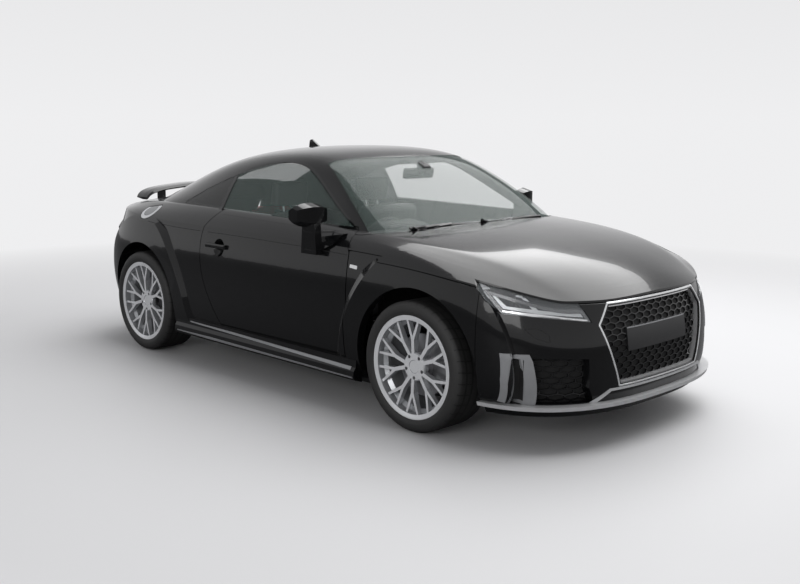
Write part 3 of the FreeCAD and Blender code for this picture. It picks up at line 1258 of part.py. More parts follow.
for turn in (90, 180, -90):
    bar = Part.makeBox(steer_radius, 2 * steer_bar_half, steer_bar_back - steer_bar_front,
                       Vector(0, -steer_bar_half, -steer_bar_back))
    bar.rotate(Vector(0, 0, 0), Vector(0, 0, 1), turn)
    bar.rotate(Vector(0, 0, 0), Vector(0, 1, 0), math.degrees(steer_lean) - 90)
    bar.translate(steer_centre)
    steer_bars.append(bar)
steering_wheel = grip.fuse([steer_hub, steer_pin] + steer_bars)
save("steering_wheel", steering_wheel)
print("steering", steering_wheel.isValid(), len(steering_wheel.Solids))
seat_y = 350.0
seat_half = 245.0
head_half = 127.0
post_half = 49.0
seat_base_half = 196.0
seat_shares = ((0.119, 0.222), (0.122, 0.318), (0.076, 0.347), (-0.072, 0.325), (-0.095, 0.347),
               (-0.157, 0.650), (-0.167, 0.710), (-0.210, 0.702), (-0.200, 0.636), (-0.143, 0.310),
               (-0.124, 0.222))
head_shares = ((-0.172, 0.721), (-0.167, 0.739), (-0.168, 0.828), (-0.187, 0.843), (-0.210, 0.820),
               (-0.212, 0.739), (-0.206, 0.721))
post_shares = ((-0.189, 0.695), (-0.189, 0.739), (-0.198, 0.739), (-0.198, 0.695))
seat_foot_z = cabin_floor_z + seat_gap
seat_base_front_x = 200.0
seat_base_top_z = 301.0
seat_base_slope = 30.0
seat_base_runs = straight([
    (seat_base_front_x, seat_foot_z), (seat_base_front_x + seat_base_slope, seat_base_top_z),
    (-seat_base_front_x - seat_base_slope, seat_base_top_z), (-seat_base_front_x, seat_foot_z)])


def about_seat(runs, half):
    return side_prism(runs, seat_y - half, seat_y + half)


seat = about_seat(straight(from_side(seat_shares)), seat_half)
seat = seat.fuse([about_seat(straight(from_side(head_shares)), head_half),
                  about_seat(straight(from_side(post_shares)), post_half),
                  about_seat(seat_base_runs, seat_base_half)])
save_both("front_seats", seat)
rear_seat_shares = ((-0.286, 0.281), (-0.286, 0.347), (-0.305, 0.362), (-0.382, 0.347), (-0.413, 0.636),
                    (-0.414, 0.665), (-0.444, 0.665), (-0.446, 0.621))
rear_seat_points = from_side(rear_seat_shares)
rear_seat_front_x = -640.0
rear_seat_back_x = -840.0
rear_back_foot_z = boot_floor_z + seat_gap
rear_seat_runs = straight([(rear_seat_front_x, tank_floor_z + seat_gap)] + rear_seat_points + [
    (boot_kick_x - moving_gap, rear_back_foot_z), (cabin_rear_x - panel_gap, rear_back_foot_z),
    (rear_seat_back_x, boot_floor_z - floor_wall), (rear_seat_back_x, tank_floor_z + seat_gap)])
save("rear_seats", both(side_prism(rear_seat_runs, 0, boot_side_y - moving_gap)))
print("seat", seat.isValid(), len(seat.Solids))

# Cowl between the bulkhead, the windscreen's foot and the bonnet
cowl_drop = 24.0
cowl_front_x = screen_base_x + 10 * moving_gap
cowl = box(bulkhead_x, cowl_front_x, -width, width, bulkhead_top_z + seat_gap, height)
cowl = cowl.common(under_deck(cowl_drop)).common(lower_tub(skin_wall * 3))
cowl = cowl.cut([bonnet_room, canopy(-seat_gap).cut(canopy(glass_wall + seat_gap)).common(screen_room)])
pillar_room = box(cabin_front_x, bulkhead_x + bulkhead_wall + panel_gap, door_inner_y - seat_gap, width, 0,
                  height)
cowl = cowl.cut([pillar_room, mirrored(pillar_room)])
save("cowl", largest(cowl))
print("cowl", cowl.isValid(), [round(solid.Volume) for solid in cowl.Solids])
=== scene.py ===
import bpy
import bmesh
import json
import math
from mathutils import Euler, Matrix, Vector


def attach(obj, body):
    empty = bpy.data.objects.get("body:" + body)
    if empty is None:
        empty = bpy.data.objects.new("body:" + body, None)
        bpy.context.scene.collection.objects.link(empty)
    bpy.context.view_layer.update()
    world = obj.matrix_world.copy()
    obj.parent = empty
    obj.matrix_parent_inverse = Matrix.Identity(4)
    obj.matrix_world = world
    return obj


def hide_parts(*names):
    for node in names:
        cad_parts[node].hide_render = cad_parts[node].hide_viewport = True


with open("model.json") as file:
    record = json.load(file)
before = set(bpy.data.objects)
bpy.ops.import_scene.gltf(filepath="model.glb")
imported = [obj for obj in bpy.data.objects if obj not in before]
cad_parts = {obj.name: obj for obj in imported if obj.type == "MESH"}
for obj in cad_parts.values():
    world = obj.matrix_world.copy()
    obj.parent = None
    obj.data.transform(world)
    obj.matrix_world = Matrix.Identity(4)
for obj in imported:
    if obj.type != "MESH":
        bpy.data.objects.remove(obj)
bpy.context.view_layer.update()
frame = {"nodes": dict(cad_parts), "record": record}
nodes = frame["nodes"]
slotOf = {part["node"]: part["material_slot"] for part in frame["record"]["subparts"]}
print("coupe loaded, nodes:", len(nodes))

# Driving dimensions in metres: the wheels' radius, and each axle's place along the car and half track
wheelRadius = 0.327
axles = {"front": (1.2175, 0.786), "rear": (-1.2875, 0.776)}
sides = (("Right", -1), ("Left", 1))  # each with its sign of y


def wheelCentre(axle, side):
    along, halfTrack = axles[axle]
    return along, halfTrack if side == "left" else -halfTrack, wheelRadius


# Shader maths: a socket with the usual operators, and one maker for any other node

class Value:
    def __init__(self, tree, socket):
        self.tree = tree
        self.socket = socket

    def math(self, operation, *others):
        node = self.tree.nodes.new("ShaderNodeMath")
        node.operation = operation
        for place, item in enumerate((self,) + others):
            if isinstance(item, Value):
                self.tree.links.new(item.socket, node.inputs[place])
            else:
                node.inputs[place].default_value = item
        return Value(self.tree, node.outputs[0])

    def __add__(self, other):
        return self.math("ADD", other)

    def __mul__(self, other):
        return self.math("MULTIPLY", other)

    def __sub__(self, other):
        return self.math("SUBTRACT", other)

    def __rsub__(self, other):
        return (self * -1.0) + other

    def __truediv__(self, other):
        return self.math("DIVIDE", other)

    def __pow__(self, other):
        return self.math("POWER", other)

    __radd__ = __add__
    __rmul__ = __mul__

    def clamp(self):
        return self.math("MAXIMUM", 0.0).math("MINIMUM", 1.0)

    def step(self, edge):
        return self.math("GREATER_THAN", edge)


class Shading:
    # Makes the nodes of one node tree
    def __init__(self, tree):
        self.tree = tree

    def node(self, kind, settings=None, **inputs):
        made = self.tree.nodes.new("ShaderNode" + kind)
        for key, setting in (settings or {}).items():
            setattr(made, key, setting)
        for key, item in inputs.items():
            # A socket goes by its name, or by its number after an i
            byNumber = key[1:].isdigit()
            socket = made.inputs[int(key[1:])] if byNumber else made.inputs[key.replace("_", " ")]
            if isinstance(item, Value):
                self.tree.links.new(item.socket, socket)
            else:
                socket.default_value = item
        return made

    def out(self, made, name=0):
        return Value(self.tree, made.outputs[name])

    def place(self, axis=None, space="Object"):
        spot = self.out(self.node("TexCoord"), space)
        if axis is None:
            return spot
        return self.out(self.node("SeparateXYZ", i0=spot), axis)

    def noise(self, scale):
        return self.out(self.node("TexNoise", Vector=self.place(), Scale=scale, Detail=3.0, Roughness=0.55))

    def cells(self, scale):
        return self.out(self.node("TexVoronoi", {"feature": "F1"}, Vector=self.place(), Scale=scale))

    def tint(self, factor, first, second):
        first, second = (item if isinstance(item, Value) else (*item, 1.0) for item in (first, second))
        return self.out(self.node("Mix", {"data_type": "RGBA"}, Factor=factor, i6=first, i7=second), 2)


class Finish(Shading):
    # A material whose fixed numbers sit on the shader and whose changing ones are linked in
    def __init__(self, name, color, roughness, metallic=0.0, **fixed):
        self.material = bpy.data.materials.new(name)
        self.material.use_nodes = True
        super().__init__(self.material.node_tree)
        self.shader = self.tree.nodes["Principled BSDF"]
        self.shader.inputs["Base Color"].default_value = (*color, 1.0)
        self.shader.inputs["Roughness"].default_value = roughness
        self.shader.inputs["Metallic"].default_value = metallic
        for socket, number in fixed.items():
            self.shader.inputs[socket.replace("_", " ")].default_value = number
        self.material.diffuse_color = (*color, 1.0)

    def feed(self, name, item):
        self.tree.links.new(item.socket, self.shader.inputs[name])

    def bump(self, height, strength, distance):
        self.feed("Normal", self.out(self.node("Bump", Strength=strength, Distance=distance, Height=height)))


def spread(value, low, high):
    return value * (high - low) + low


def line(value, place, half):
    # 1 where the value is within half a line's width of the place, and 0 elsewhere
    return 1 - (value - place).math("ABSOLUTE").step(half)


def lines(value, places, half):
    # Several such lines, added up
    total = 0.0
    for place in places:
        total = line(value, place, half) + total
    return total


# Finishes

# Black paint: fine flakes under a thin clear coat
paintLook = {"color": (0.0035, 0.0036, 0.004), "flakeColor": (0.012, 0.0125, 0.0135), "flakeScale": 900.0,
             "flakeEdge": 0.93, "patchScale": 3.0, "rough": (0.12, 0.18), "gloss": 0.16, "coat": 0.45,
             "coatRough": 0.02}


def paintFinish():
    paint = Finish("blackPaint", paintLook["color"], paintLook["rough"][0], Coat_Weight=paintLook["coat"],
                   Coat_Roughness=paintLook["coatRough"], Specular_IOR_Level=paintLook["gloss"])
    flake = paint.cells(paintLook["flakeScale"]).step(paintLook["flakeEdge"])
    paint.feed("Base Color", paint.tint(flake, paintLook["color"], paintLook["flakeColor"]))
    paint.feed("Roughness", spread(paint.noise(paintLook["patchScale"]), *paintLook["rough"]))
    return paint.material


# Plastics and plain metals: colour in slight patches, grain in roughness and bump
plainLook = {"patchScale": 0.08, "patchShade": 0.82}


def plainFinish(name, color, rough, grain, metallic=0.0, bump=0.2, distance=0.0004):
    surface = Finish(name, color, sum(rough) / 2, metallic)
    patch = surface.noise(grain * plainLook["patchScale"])
    darker = tuple(channel * plainLook["patchShade"] for channel in color)
    surface.feed("Base Color", surface.tint(patch, darker, color))
    fine = surface.noise(grain)
    surface.feed("Roughness", spread(fine, *rough))
    surface.bump(fine, bump, distance)
    return surface.material


# Glass: see-through by its alpha, with faint haze and smears
glassLook = {"ior": 1.5, "gloss": 0.6, "hazeScale": 1.6, "haze": 0.02, "smearScale": 40.0,
             "rough": (0.0, 0.015)}


def glassBase(name, color, roughness=0.0):
    return Finish(name, color, roughness, IOR=glassLook["ior"], Specular_IOR_Level=glassLook["gloss"])


def glassFinish(name, color, alpha):
    glass = glassBase(name, color)
    haze = glass.noise(glassLook["hazeScale"])
    glass.feed("Alpha", spread(haze, alpha - glassLook["haze"], alpha + glassLook["haze"]))
    glass.feed("Roughness", spread(glass.noise(glassLook["smearScale"]), *glassLook["rough"]))
    return glass.material


# Rear glass: heater lines across it
rearGlassLook = {"color": (0.03, 0.045, 0.042), "roughness": 0.02, "alpha": 0.42, "lineAlpha": 0.3,
                 "linePitch": 170.0, "lineEdge": 0.985}


def rearGlassFinish():
    glass = glassBase("rearGlass", rearGlassLook["color"], rearGlassLook["roughness"])
    heater = (glass.place("X") * rearGlassLook["linePitch"]).math("SINE").step(rearGlassLook["lineEdge"])
    glass.feed("Alpha", heater * rearGlassLook["lineAlpha"] + rearGlassLook["alpha"])
    glass.feed("Roughness", spread(glass.noise(glassLook["smearScale"]), *glassLook["rough"]))
    return glass.material


# Tyre: tread grooves and sipes on the outer face, painted darker as shade in the cuts, moulded rings on the
# walls, from the wheel's own centre
tyreLook = {"color": (0.014, 0.014, 0.0145), "roughness": 0.62, "treadDepth": 0.012,
            "grooves": (-0.066, -0.024, 0.024, 0.066), "grooveHalf": 0.0055,
            "sipes": 74, "sipeSlant": 18.0, "sipeEdge": 0.93, "sipesFrom": 0.03,
            "rings": (0.266, 0.279, 0.304), "ringHalf": 0.0012, "grainScale": 700.0, "dustScale": 6.0,
            "cleanColor": (0.012, 0.012, 0.0125), "dustColor": (0.021, 0.0205, 0.02),
            "cutShade": (0.003, 0.003, 0.003), "rough": (0.52, 0.74),
            "grainHeight": 0.08, "cutHeight": 2.0, "ringHeight": 0.5, "bump": 0.6, "bumpDistance": 0.0022}


def tyreFinish(name, axle, side):
    centreX, centreY, centreZ = wheelCentre(axle, side)
    tyre = Finish(name, tyreLook["color"], tyreLook["roughness"])
    alongX = tyre.place("X") - centreX
    alongZ = tyre.place("Z") - centreZ
    across = tyre.place("Y") - centreY
    reach = (alongX * alongX + alongZ * alongZ) ** 0.5
    onTread = reach.step(wheelRadius - tyreLook["treadDepth"])
    groove = lines(across, tyreLook["grooves"], tyreLook["grooveHalf"])
    turn = alongZ.math("ARCTAN2", alongX)
    slanted = turn * (tyreLook["sipes"] / 2) + across * tyreLook["sipeSlant"]
    sipe = slanted.math("SINE").step(tyreLook["sipeEdge"])
    outwards = across.math("ABSOLUTE").step(tyreLook["sipesFrom"])
    cut = (groove + sipe * outwards).clamp() * onTread
    ring = lines(reach, tyreLook["rings"], tyreLook["ringHalf"])
    fine = tyre.noise(tyreLook["grainScale"])
    dust = tyre.noise(tyreLook["dustScale"])
    rubber = tyre.tint(dust, tyreLook["cleanColor"], tyreLook["dustColor"])
    # Painted shade: grooves and sipes take a darker colour than the rubber
    tyre.feed("Base Color", tyre.tint(cut, rubber, tyreLook["cutShade"]))
    tyre.feed("Roughness", spread(dust, *tyreLook["rough"]))
    height = fine * tyreLook["grainHeight"] - cut * tyreLook["cutHeight"]
    height = height + ring * (1 - onTread) * tyreLook["ringHeight"]
    tyre.bump(height, tyreLook["bump"], tyreLook["bumpDistance"])
    return tyre.material


# Alloy wheels: cut faces that look to the side, darker silver inside and between the spokes
alloyLook = {"color": (0.66, 0.67, 0.69), "roughness": 0.25, "metallic": 0.45, "cutFacing": 0.86,
             "silver": (0.42, 0.43, 0.445), "cut": (0.82, 0.83, 0.85), "grainScale": 420.0,
             "rough": (0.2, 0.3), "cutSmoother": 0.06, "bump": 0.12, "bumpDistance": 0.0003}


def alloyFinish():
    alloy = Finish("cutAlloy", alloyLook["color"], alloyLook["roughness"], alloyLook["metallic"])
    facing = alloy.place("Y", "Normal").math("ABSOLUTE").step(alloyLook["cutFacing"])
    fine = alloy.noise(alloyLook["grainScale"])
    alloy.feed("Base Color", alloy.tint(facing, alloyLook["silver"], alloyLook["cut"]))
    alloy.feed("Roughness", spread(fine, *alloyLook["rough"]) - facing * alloyLook["cutSmoother"])
    alloy.bump(fine, alloyLook["bump"], alloyLook["bumpDistance"])
    return alloy.material


# Fuel flap: a polished rim outside a dark line, round the flap's own centre
flapLook = {"color": (0.6, 0.61, 0.63), "roughness": 0.3, "metallic": 0.9, "centre": (-1.29, -0.80, 0.923),
            "rim": 0.052, "lineHalf": 0.0018, "lid": (0.30, 0.305, 0.315), "rimColor": (0.7, 0.71, 0.73),
            "lineColor": (0.02, 0.02, 0.02), "grainScale": 300.0, "rough": (0.24, 0.36), "lineHeight": 2.0,
            "bump": 0.4, "bumpDistance": 0.002}


def flapFinish():
    flap = Finish("flapAlloy", flapLook["color"], flapLook["roughness"], flapLook["metallic"])
    offset = flap.node("VectorMath", {"operation": "DISTANCE"}, i0=flap.place(), i1=flapLook["centre"])
    reach = flap.out(offset, "Value")
    rim = reach.step(flapLook["rim"])
    groove = line(reach, flapLook["rim"], flapLook["lineHalf"])
    metal = flap.tint(rim, flapLook["lid"], flapLook["rimColor"])
    flap.feed("Base Color", flap.tint(groove, metal, flapLook["lineColor"]))
    flap.feed("Roughness", spread(flap.noise(flapLook["grainScale"]), *flapLook["rough"]))
    flap.bump(rim - groove * flapLook["lineHeight"], flapLook["bump"], flapLook["bumpDistance"])
    return flap.material


# Tail lamp: red lens with stacked bright bars behind it and a paler strip low down
tailLensLook = {"color": (0.30, 0.006, 0.01), "roughness": 0.1, "coat": 0.3, "gloss": 0.3, "barPitch": 420.0,
                "barEdge": 0.35, "stripTop": 0.752, "betweenBars": (0.16, 0.002, 0.004),
                "bar": (0.40, 0.006, 0.010), "strip": (0.30, 0.24, 0.235), "grainScale": 90.0,
                "rough": (0.06, 0.14), "bump": 0.15, "bumpDistance": 0.0006}


def tailLensFinish():
    lens = Finish("redLens", tailLensLook["color"], tailLensLook["roughness"],
                  Coat_Weight=tailLensLook["coat"], Specular_IOR_Level=tailLensLook["gloss"])
    high = lens.place("Z")
    bars = (high * tailLensLook["barPitch"]).math("SINE").step(tailLensLook["barEdge"])
    low = 1 - high.step(tailLensLook["stripTop"])
    red = lens.tint(bars, tailLensLook["betweenBars"], tailLensLook["bar"])
    lens.feed("Base Color", lens.tint(low, red, tailLensLook["strip"]))
    lens.feed("Roughness", spread(lens.noise(tailLensLook["grainScale"]), *tailLensLook["rough"]))
    lens.bump(bars, tailLensLook["bump"], tailLensLook["bumpDistance"])
    return lens.material


# Carpet: short pile, with painted shade at the roots of the pile and its tips lighter
carpetLook = {"color": (0.012, 0.012, 0.013), "roughness": 0.9, "pileScale": 900.0,
              "root": (0.006, 0.006, 0.0065), "tip": (0.02, 0.02, 0.021), "rough": (0.82, 0.98), "bump": 0.6,
              "bumpDistance": 0.0015}


def carpetFinish():
    carpet = Finish("carpet", carpetLook["color"], carpetLook["roughness"])
    pile = carpet.cells(carpetLook["pileScale"])
    # Painted shade: each pile cell is darker at its root, lighter at its tip
    carpet.feed("Base Color", carpet.tint(pile, carpetLook["root"], carpetLook["tip"]))
    carpet.feed("Roughness", spread(pile, *carpetLook["rough"]))
    carpet.bump(pile, carpetLook["bump"], carpetLook["bumpDistance"])
    return carpet.material


# Brake discs: turned iron in two close greys
discLook = {"color": (0.36, 0.36, 0.37), "roughness": 0.3, "dark": (0.28, 0.28, 0.29),
            "light": (0.42, 0.42, 0.43), "patchScale": 30.0, "grainScale": 900.0, "rough": (0.26, 0.42),
            "bump": 0.3, "bumpDistance": 0.0003}


def discFinish():
    disc = Finish("turnedIron", discLook["color"], discLook["roughness"], 1.0)
    fine = disc.noise(discLook["grainScale"])
    patch = disc.noise(discLook["patchScale"])
    disc.feed("Base Color", disc.tint(patch, discLook["dark"], discLook["light"]))
    disc.feed("Roughness", spread(fine, *discLook["rough"]))
    disc.bump(fine, discLook["bump"], discLook["bumpDistance"])
    return disc.material


# Leather: grained, and with a channel spacing it gets sewn flutes across the car; the colour darkens in soft
# random patches and, as painted shade, towards each seam between flutes
leatherLook = {"roughness": 0.5, "grainScale": 420.0, "grainHeight": 0.2, "softScale": 9.0, "fluteRound": 0.4,
               "fluteShade": 0.25, "creaseShade": 0.55, "rough": (0.42, 0.6), "bump": 0.5,
               "grainDistance": 0.0006, "fluteDistance": 0.003}


def leatherFinish(name, color, channel=0.0):
    leather = Finish(name, color, leatherLook["roughness"])
    grain = leather.cells(leatherLook["grainScale"])
    soft = leather.noise(leatherLook["softScale"])
    height = grain * leatherLook["grainHeight"]
    shade = soft
    if channel:
        flute = (leather.place("Y") * (math.pi / channel)).math("SINE").math("ABSOLUTE")
        height = height + flute ** leatherLook["fluteRound"]
        # Painted shade: the colour darkens towards the seams between flutes
        shade = soft * flute ** leatherLook["fluteShade"]
    toneAndSeamShade = tuple(part * leatherLook["creaseShade"] for part in color)
    leather.feed("Base Color", leather.tint(shade, toneAndSeamShade, color))
    leather.feed("Roughness", spread(soft, *leatherLook["rough"]))
    leather.bump(height, leatherLook["bump"], leatherLook["fluteDistance" if channel else "grainDistance"])
    return leather.material


# The finish of each material slot, and below it the nodes that have one of their own
finishes = {
    "paint": paintFinish(),
    "clear_glass": glassFinish("clearGlass", (0.16, 0.21, 0.195), 0.2),
    "lamp_lens": glassFinish("lampLens", (0.5, 0.53, 0.55), 0.10),
    "flap_silver": plainFinish("silverPaint", (0.62, 0.63, 0.65), (0.28, 0.4), 260.0, metallic=0.85),
    "lamp_inner": plainFinish("lampBlack", (0.14, 0.14, 0.145), (0.2, 0.32), 300.0, metallic=0.5),
    "red_lens": tailLensFinish(),
    "satin_grey": plainFinish("satinGrey", (0.30, 0.305, 0.315), (0.34, 0.46), 300.0, metallic=0.4),
    "dark_plastic": plainFinish("darkPlastic", (0.012, 0.012, 0.013), (0.42, 0.6), 500.0),
    "frame_steel": plainFinish("primedSteel", (0.022, 0.022, 0.024), (0.45, 0.65), 200.0),
    "rim_alloy": alloyFinish(),
    "tyre_rubber": tyreFinish("tyreRubber", "front", "right"),
    "disc_iron": discFinish(),
    "engine_alloy": plainFinish("castAlloy", (0.22, 0.22, 0.23), (0.42, 0.62), 160.0, metallic=0.6, bump=0.5),
    "exhaust_steel": plainFinish("brightSteel", (0.62, 0.61, 0.6), (0.15, 0.3), 300.0, metallic=1.0),
    "trim_black": plainFinish("softTrim", (0.02, 0.02, 0.021), (0.62, 0.72), 60.0, bump=0.05,
                              distance=0.0001),
    "wheel_leather": leatherFinish("wheelLeather", (0.016, 0.016, 0.017)),
    "seat_leather": leatherFinish("seatLeather", (0.02, 0.02, 0.021)),
}
own = {
    "fuel_flap": flapFinish(),
    "rear_glass": rearGlassFinish(),
    "floor_pan": carpetFinish(),
    "grille_frame": plainFinish("polishedFrame", (0.78, 0.78, 0.79), (0.25, 0.35), 300.0, metallic=0.7,
                                bump=0.05),
    "front_splitter": plainFinish("lipSilver", (0.60, 0.605, 0.615), (0.3, 0.4), 300.0, metallic=0.4,
                                  bump=0.05),
    "plate_holder": plainFinish("plateBlack", (0.012, 0.012, 0.013), (0.3, 0.42), 300.0),
    "side_skirts": finishes["paint"],
    # Near-black painted shade on the sheet behind the honeycomb, also laid in the blade slots
    "grille": plainFinish("grilleShadeSheet", (0.002, 0.002, 0.0022), (0.7, 0.85), 300.0),
    "quarter_glass": glassFinish("privacyGlass", (0.006, 0.007, 0.007), 0.72),
    # A tyre's pattern starts from its own wheel's centre; the fourth tyre keeps its slot's finish
    "tyre_front_left": tyreFinish("tyreFrontLeft", "front", "left"),
    "tyre_rear_left": tyreFinish("tyreRearLeft", "rear", "left"),
    "tyre_rear_right": tyreFinish("tyreRearRight", "rear", "right"),
}
# Finishes of the added trim
trim = {
    "gloss": plainFinish("glossTrim", (0.006, 0.006, 0.0065), (0.1, 0.18), 200.0, bump=0.05, distance=0.0002),
    "satin": finishes["satin_grey"],
    "bright": plainFinish("brightTrim", (0.80, 0.81, 0.82), (0.18, 0.28), 300.0, metallic=0.6, bump=0.05),
    "dark": finishes["dark_plastic"],
    "line": plainFinish("shadowLine", (0.002, 0.002, 0.002), (0.6, 0.8), 300.0),
    "mirror": plainFinish("mirrorGlass", (0.5, 0.52, 0.53), (0.02, 0.05), 60.0, metallic=1.0, bump=0.0),
    "guide": plainFinish("lampGuide", (0.86, 0.88, 0.9), (0.12, 0.25), 200.0, metallic=0.1, bump=0.05),
}
print("finishes made:", len(finishes) + len(own) + len(trim))

for name, piece in nodes.items():
    piece.data.materials.clear()
    piece.data.materials.append(own.get(name) or finishes[slotOf[name]])


# Making pieces: each is shaped at the origin with its place in its mesh

smoothBelow = 35  # degrees between faces


def added(primitive, **settings):
    # A new primitive with nothing else selected
    bpy.ops.object.select_all(action="DESELECT")
    primitive(**settings)
    return bpy.context.object


def pick(piece):
    bpy.ops.object.select_all(action="DESELECT")
    piece.select_set(True)
    bpy.context.view_layer.objects.active = piece


def shaped(piece, kind, **settings):
    # One modifier, applied at once
    pick(piece)
    change = piece.modifiers.new(kind.lower(), kind)
    for key, setting in settings.items():
        setattr(change, key, setting)
    bpy.ops.object.modifier_apply(modifier=change.name)


def edit(piece, *steps):
    # Edit-mode steps on the whole mesh, each a call
    pick(piece)
    bpy.ops.object.mode_set(mode="EDIT")
    bpy.ops.mesh.select_all(action="SELECT")
    for step in steps:
        step()
    bpy.ops.object.mode_set(mode="OBJECT")


def finished(piece, name, finish, slotName, body, *replaced):
    piece.name = name
    piece.data.name = name
    piece.data.materials.clear()
    piece.data.materials.append(finish)
    pick(piece)
    bpy.ops.object.transform_apply(location=True, rotation=True, scale=True)
    bpy.ops.object.shade_smooth_by_angle(angle=math.radians(smoothBelow))
    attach(piece, body)
    if replaced:
        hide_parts(*replaced)


# Where a line starts outside the car, and its way, from two coordinates in each view
outside = 3.0
views = {
    "front": lambda a, b: ((outside, a, b), (-1.0, 0.0, 0.0)),
    "rear": lambda a, b: ((-outside, a, b), (1.0, 0.0, 0.0)),
    "right": lambda a, b: ((a, -outside, b), (0.0, 1.0, 0.0)),
    "left": lambda a, b: ((a, outside, b), (0.0, -1.0, 0.0)),
    "top": lambda a, b: ((a, b, outside), (0.0, 0.0, -1.0)),
}


def landed(view, onNodes, a, b):
    # Where a line from outside first meets the named nodes, and which way the surface faces
    start, ahead = (Vector(item) for item in views[view](a, b))
    best = None
    for name in onNodes:
        met, place, normal = nodes[name].ray_cast(start, ahead)[:3]
        if met and (best is None or (place - start).length < (best[0] - start).length):
            best = (place, normal if normal.dot(ahead) < 0 else -normal)
    return best


def alongPath(path, share):
    # Point with width, and direction, at a share of a path of (a, b, width) points
    runs = [math.dist(one[:2], two[:2]) for one, two in zip(path, path[1:])]
    left = share * sum(runs)
    for place, run in enumerate(runs):
        if left <= run or place == len(runs) - 1:
            break
        left -= run
    one, two = path[place], path[place + 1]
    here = [start + (end - start) * left / run for start, end in zip(one, two)]
    return here, ((two[0] - one[0]) / run, (two[1] - one[1]) / run)


def ribbon(name, view, onNodes, path, look, finish, slotName, body="shell"):
    # A strip that follows the car: a grid laid on what carries it, then given its wall and its edge
    strip = added(bpy.ops.mesh.primitive_grid_add, x_subdivisions=look["steps"], y_subdivisions=2, size=2)
    starts = {point.index: point.co.copy() for point in strip.data.vertices}
    landings = {}
    for index, start in starts.items():
        (a, b, wide), (runA, runB) = alongPath(path, (start.x + 1) / 2)
        side = start.y * wide / 2
        landing = landed(view, onNodes, a - runB * side, b + runA * side)
        if landing:
            landings[index] = landing
    if not landings:
        raise RuntimeError("nothing under " + name)
    for index, start in starts.items():
        # Where a line misses, the nearest point of the strip that landed gives the spot
        nearest = min(landings, key=lambda item: (starts[item] - start).length)
        spot, out = landings[nearest]
        strip.data.vertices[index].co = spot + out * (look["proud"] - look["wall"] / 2)
    shaped(strip, "SOLIDIFY", thickness=look["wall"], offset=0.0)
    if look["edge"]:
        shaped(strip, "BEVEL", width=look["edge"], segments=1, limit_method="ANGLE")
    finished(strip, name, finish, slotName, body)


def both(name, view, onNodes, path, look, finish, slotName, body="shell"):
    # The same strip on both sides, given for the right in the side view and for the left in others
    for side, mark in sides:
        ownNodes = [node.replace("right", side.lower()) for node in onNodes]
        ownView = view.replace("right", side.lower())
        ownPath = path if view == "right" else [(a * mark, b, wide) for a, b, wide in path]
        ownBody = body.replace("right", side.lower())
        ribbon(name + side, ownView, ownNodes, ownPath, look, finish, slotName, ownBody)


def block(name, look, place, finish, slotName, *replaced, body="shell"):
    # A small moulded part: its top is drawn in by the taper and its edges are rounded
    part = added(bpy.ops.mesh.primitive_cube_add, size=1)
    long, wide, tall = look["size"]
    for point in part.data.vertices:
        drawn = look["taper"] if point.co.z > 0 else 1.0
        point.co = (point.co.x * long * drawn, point.co.y * wide * drawn, point.co.z * tall)
    shaped(part, "BEVEL", width=look["edge"], segments=3, limit_method="ANGLE")
    turn = Euler((0.0, math.radians(look["tilt"]), 0.0)).to_matrix().to_4x4()
    part.data.transform(Matrix.Translation(place) @ turn)
    finished(part, name, finish, slotName, body, *replaced)


# Honeycomb meshes: an opening is an outline of (y, z) points; the CAD sheet behind it stays, near-black as
# painted shade deep in the openings

combLook = {"pitch": 0.062, "row": 0.027, "bar": 0.005, "depth": 0.008, "weld": 0.0004,
            "spare": 3, "startX": 2.2, "missedX": 2.15}
grilleLook = {"across": (-0.446, 0.446), "up": (0.300, 0.675),
              "edge": ((-0.372, 0.676), (0.372, 0.676), (0.445, 0.587), (0.338, 0.300), (-0.338, 0.300),
                       (-0.445, 0.587))}
intakeLook = {"across": (0.486, 0.799), "up": (0.231, 0.455),
              "edge": ((0.524, 0.445), (0.797, 0.460), (0.787, 0.232), (0.486, 0.232))}


def turned(points):
    # Counterclockwise seen from the front, so that each cut drops what lies outside
    area = sum(a[0] * b[1] - b[0] * a[1] for a, b in zip(points, points[1:] + points[:1]))
    return points if area > 0 else points[::-1]


def cutAway(plane, way):
    # An edit step that drops what lies beyond a plane
    def step():
        bpy.ops.mesh.select_all(action="SELECT")
        bpy.ops.mesh.bisect(plane_co=plane, plane_no=way, clear_outer=True)
    return step


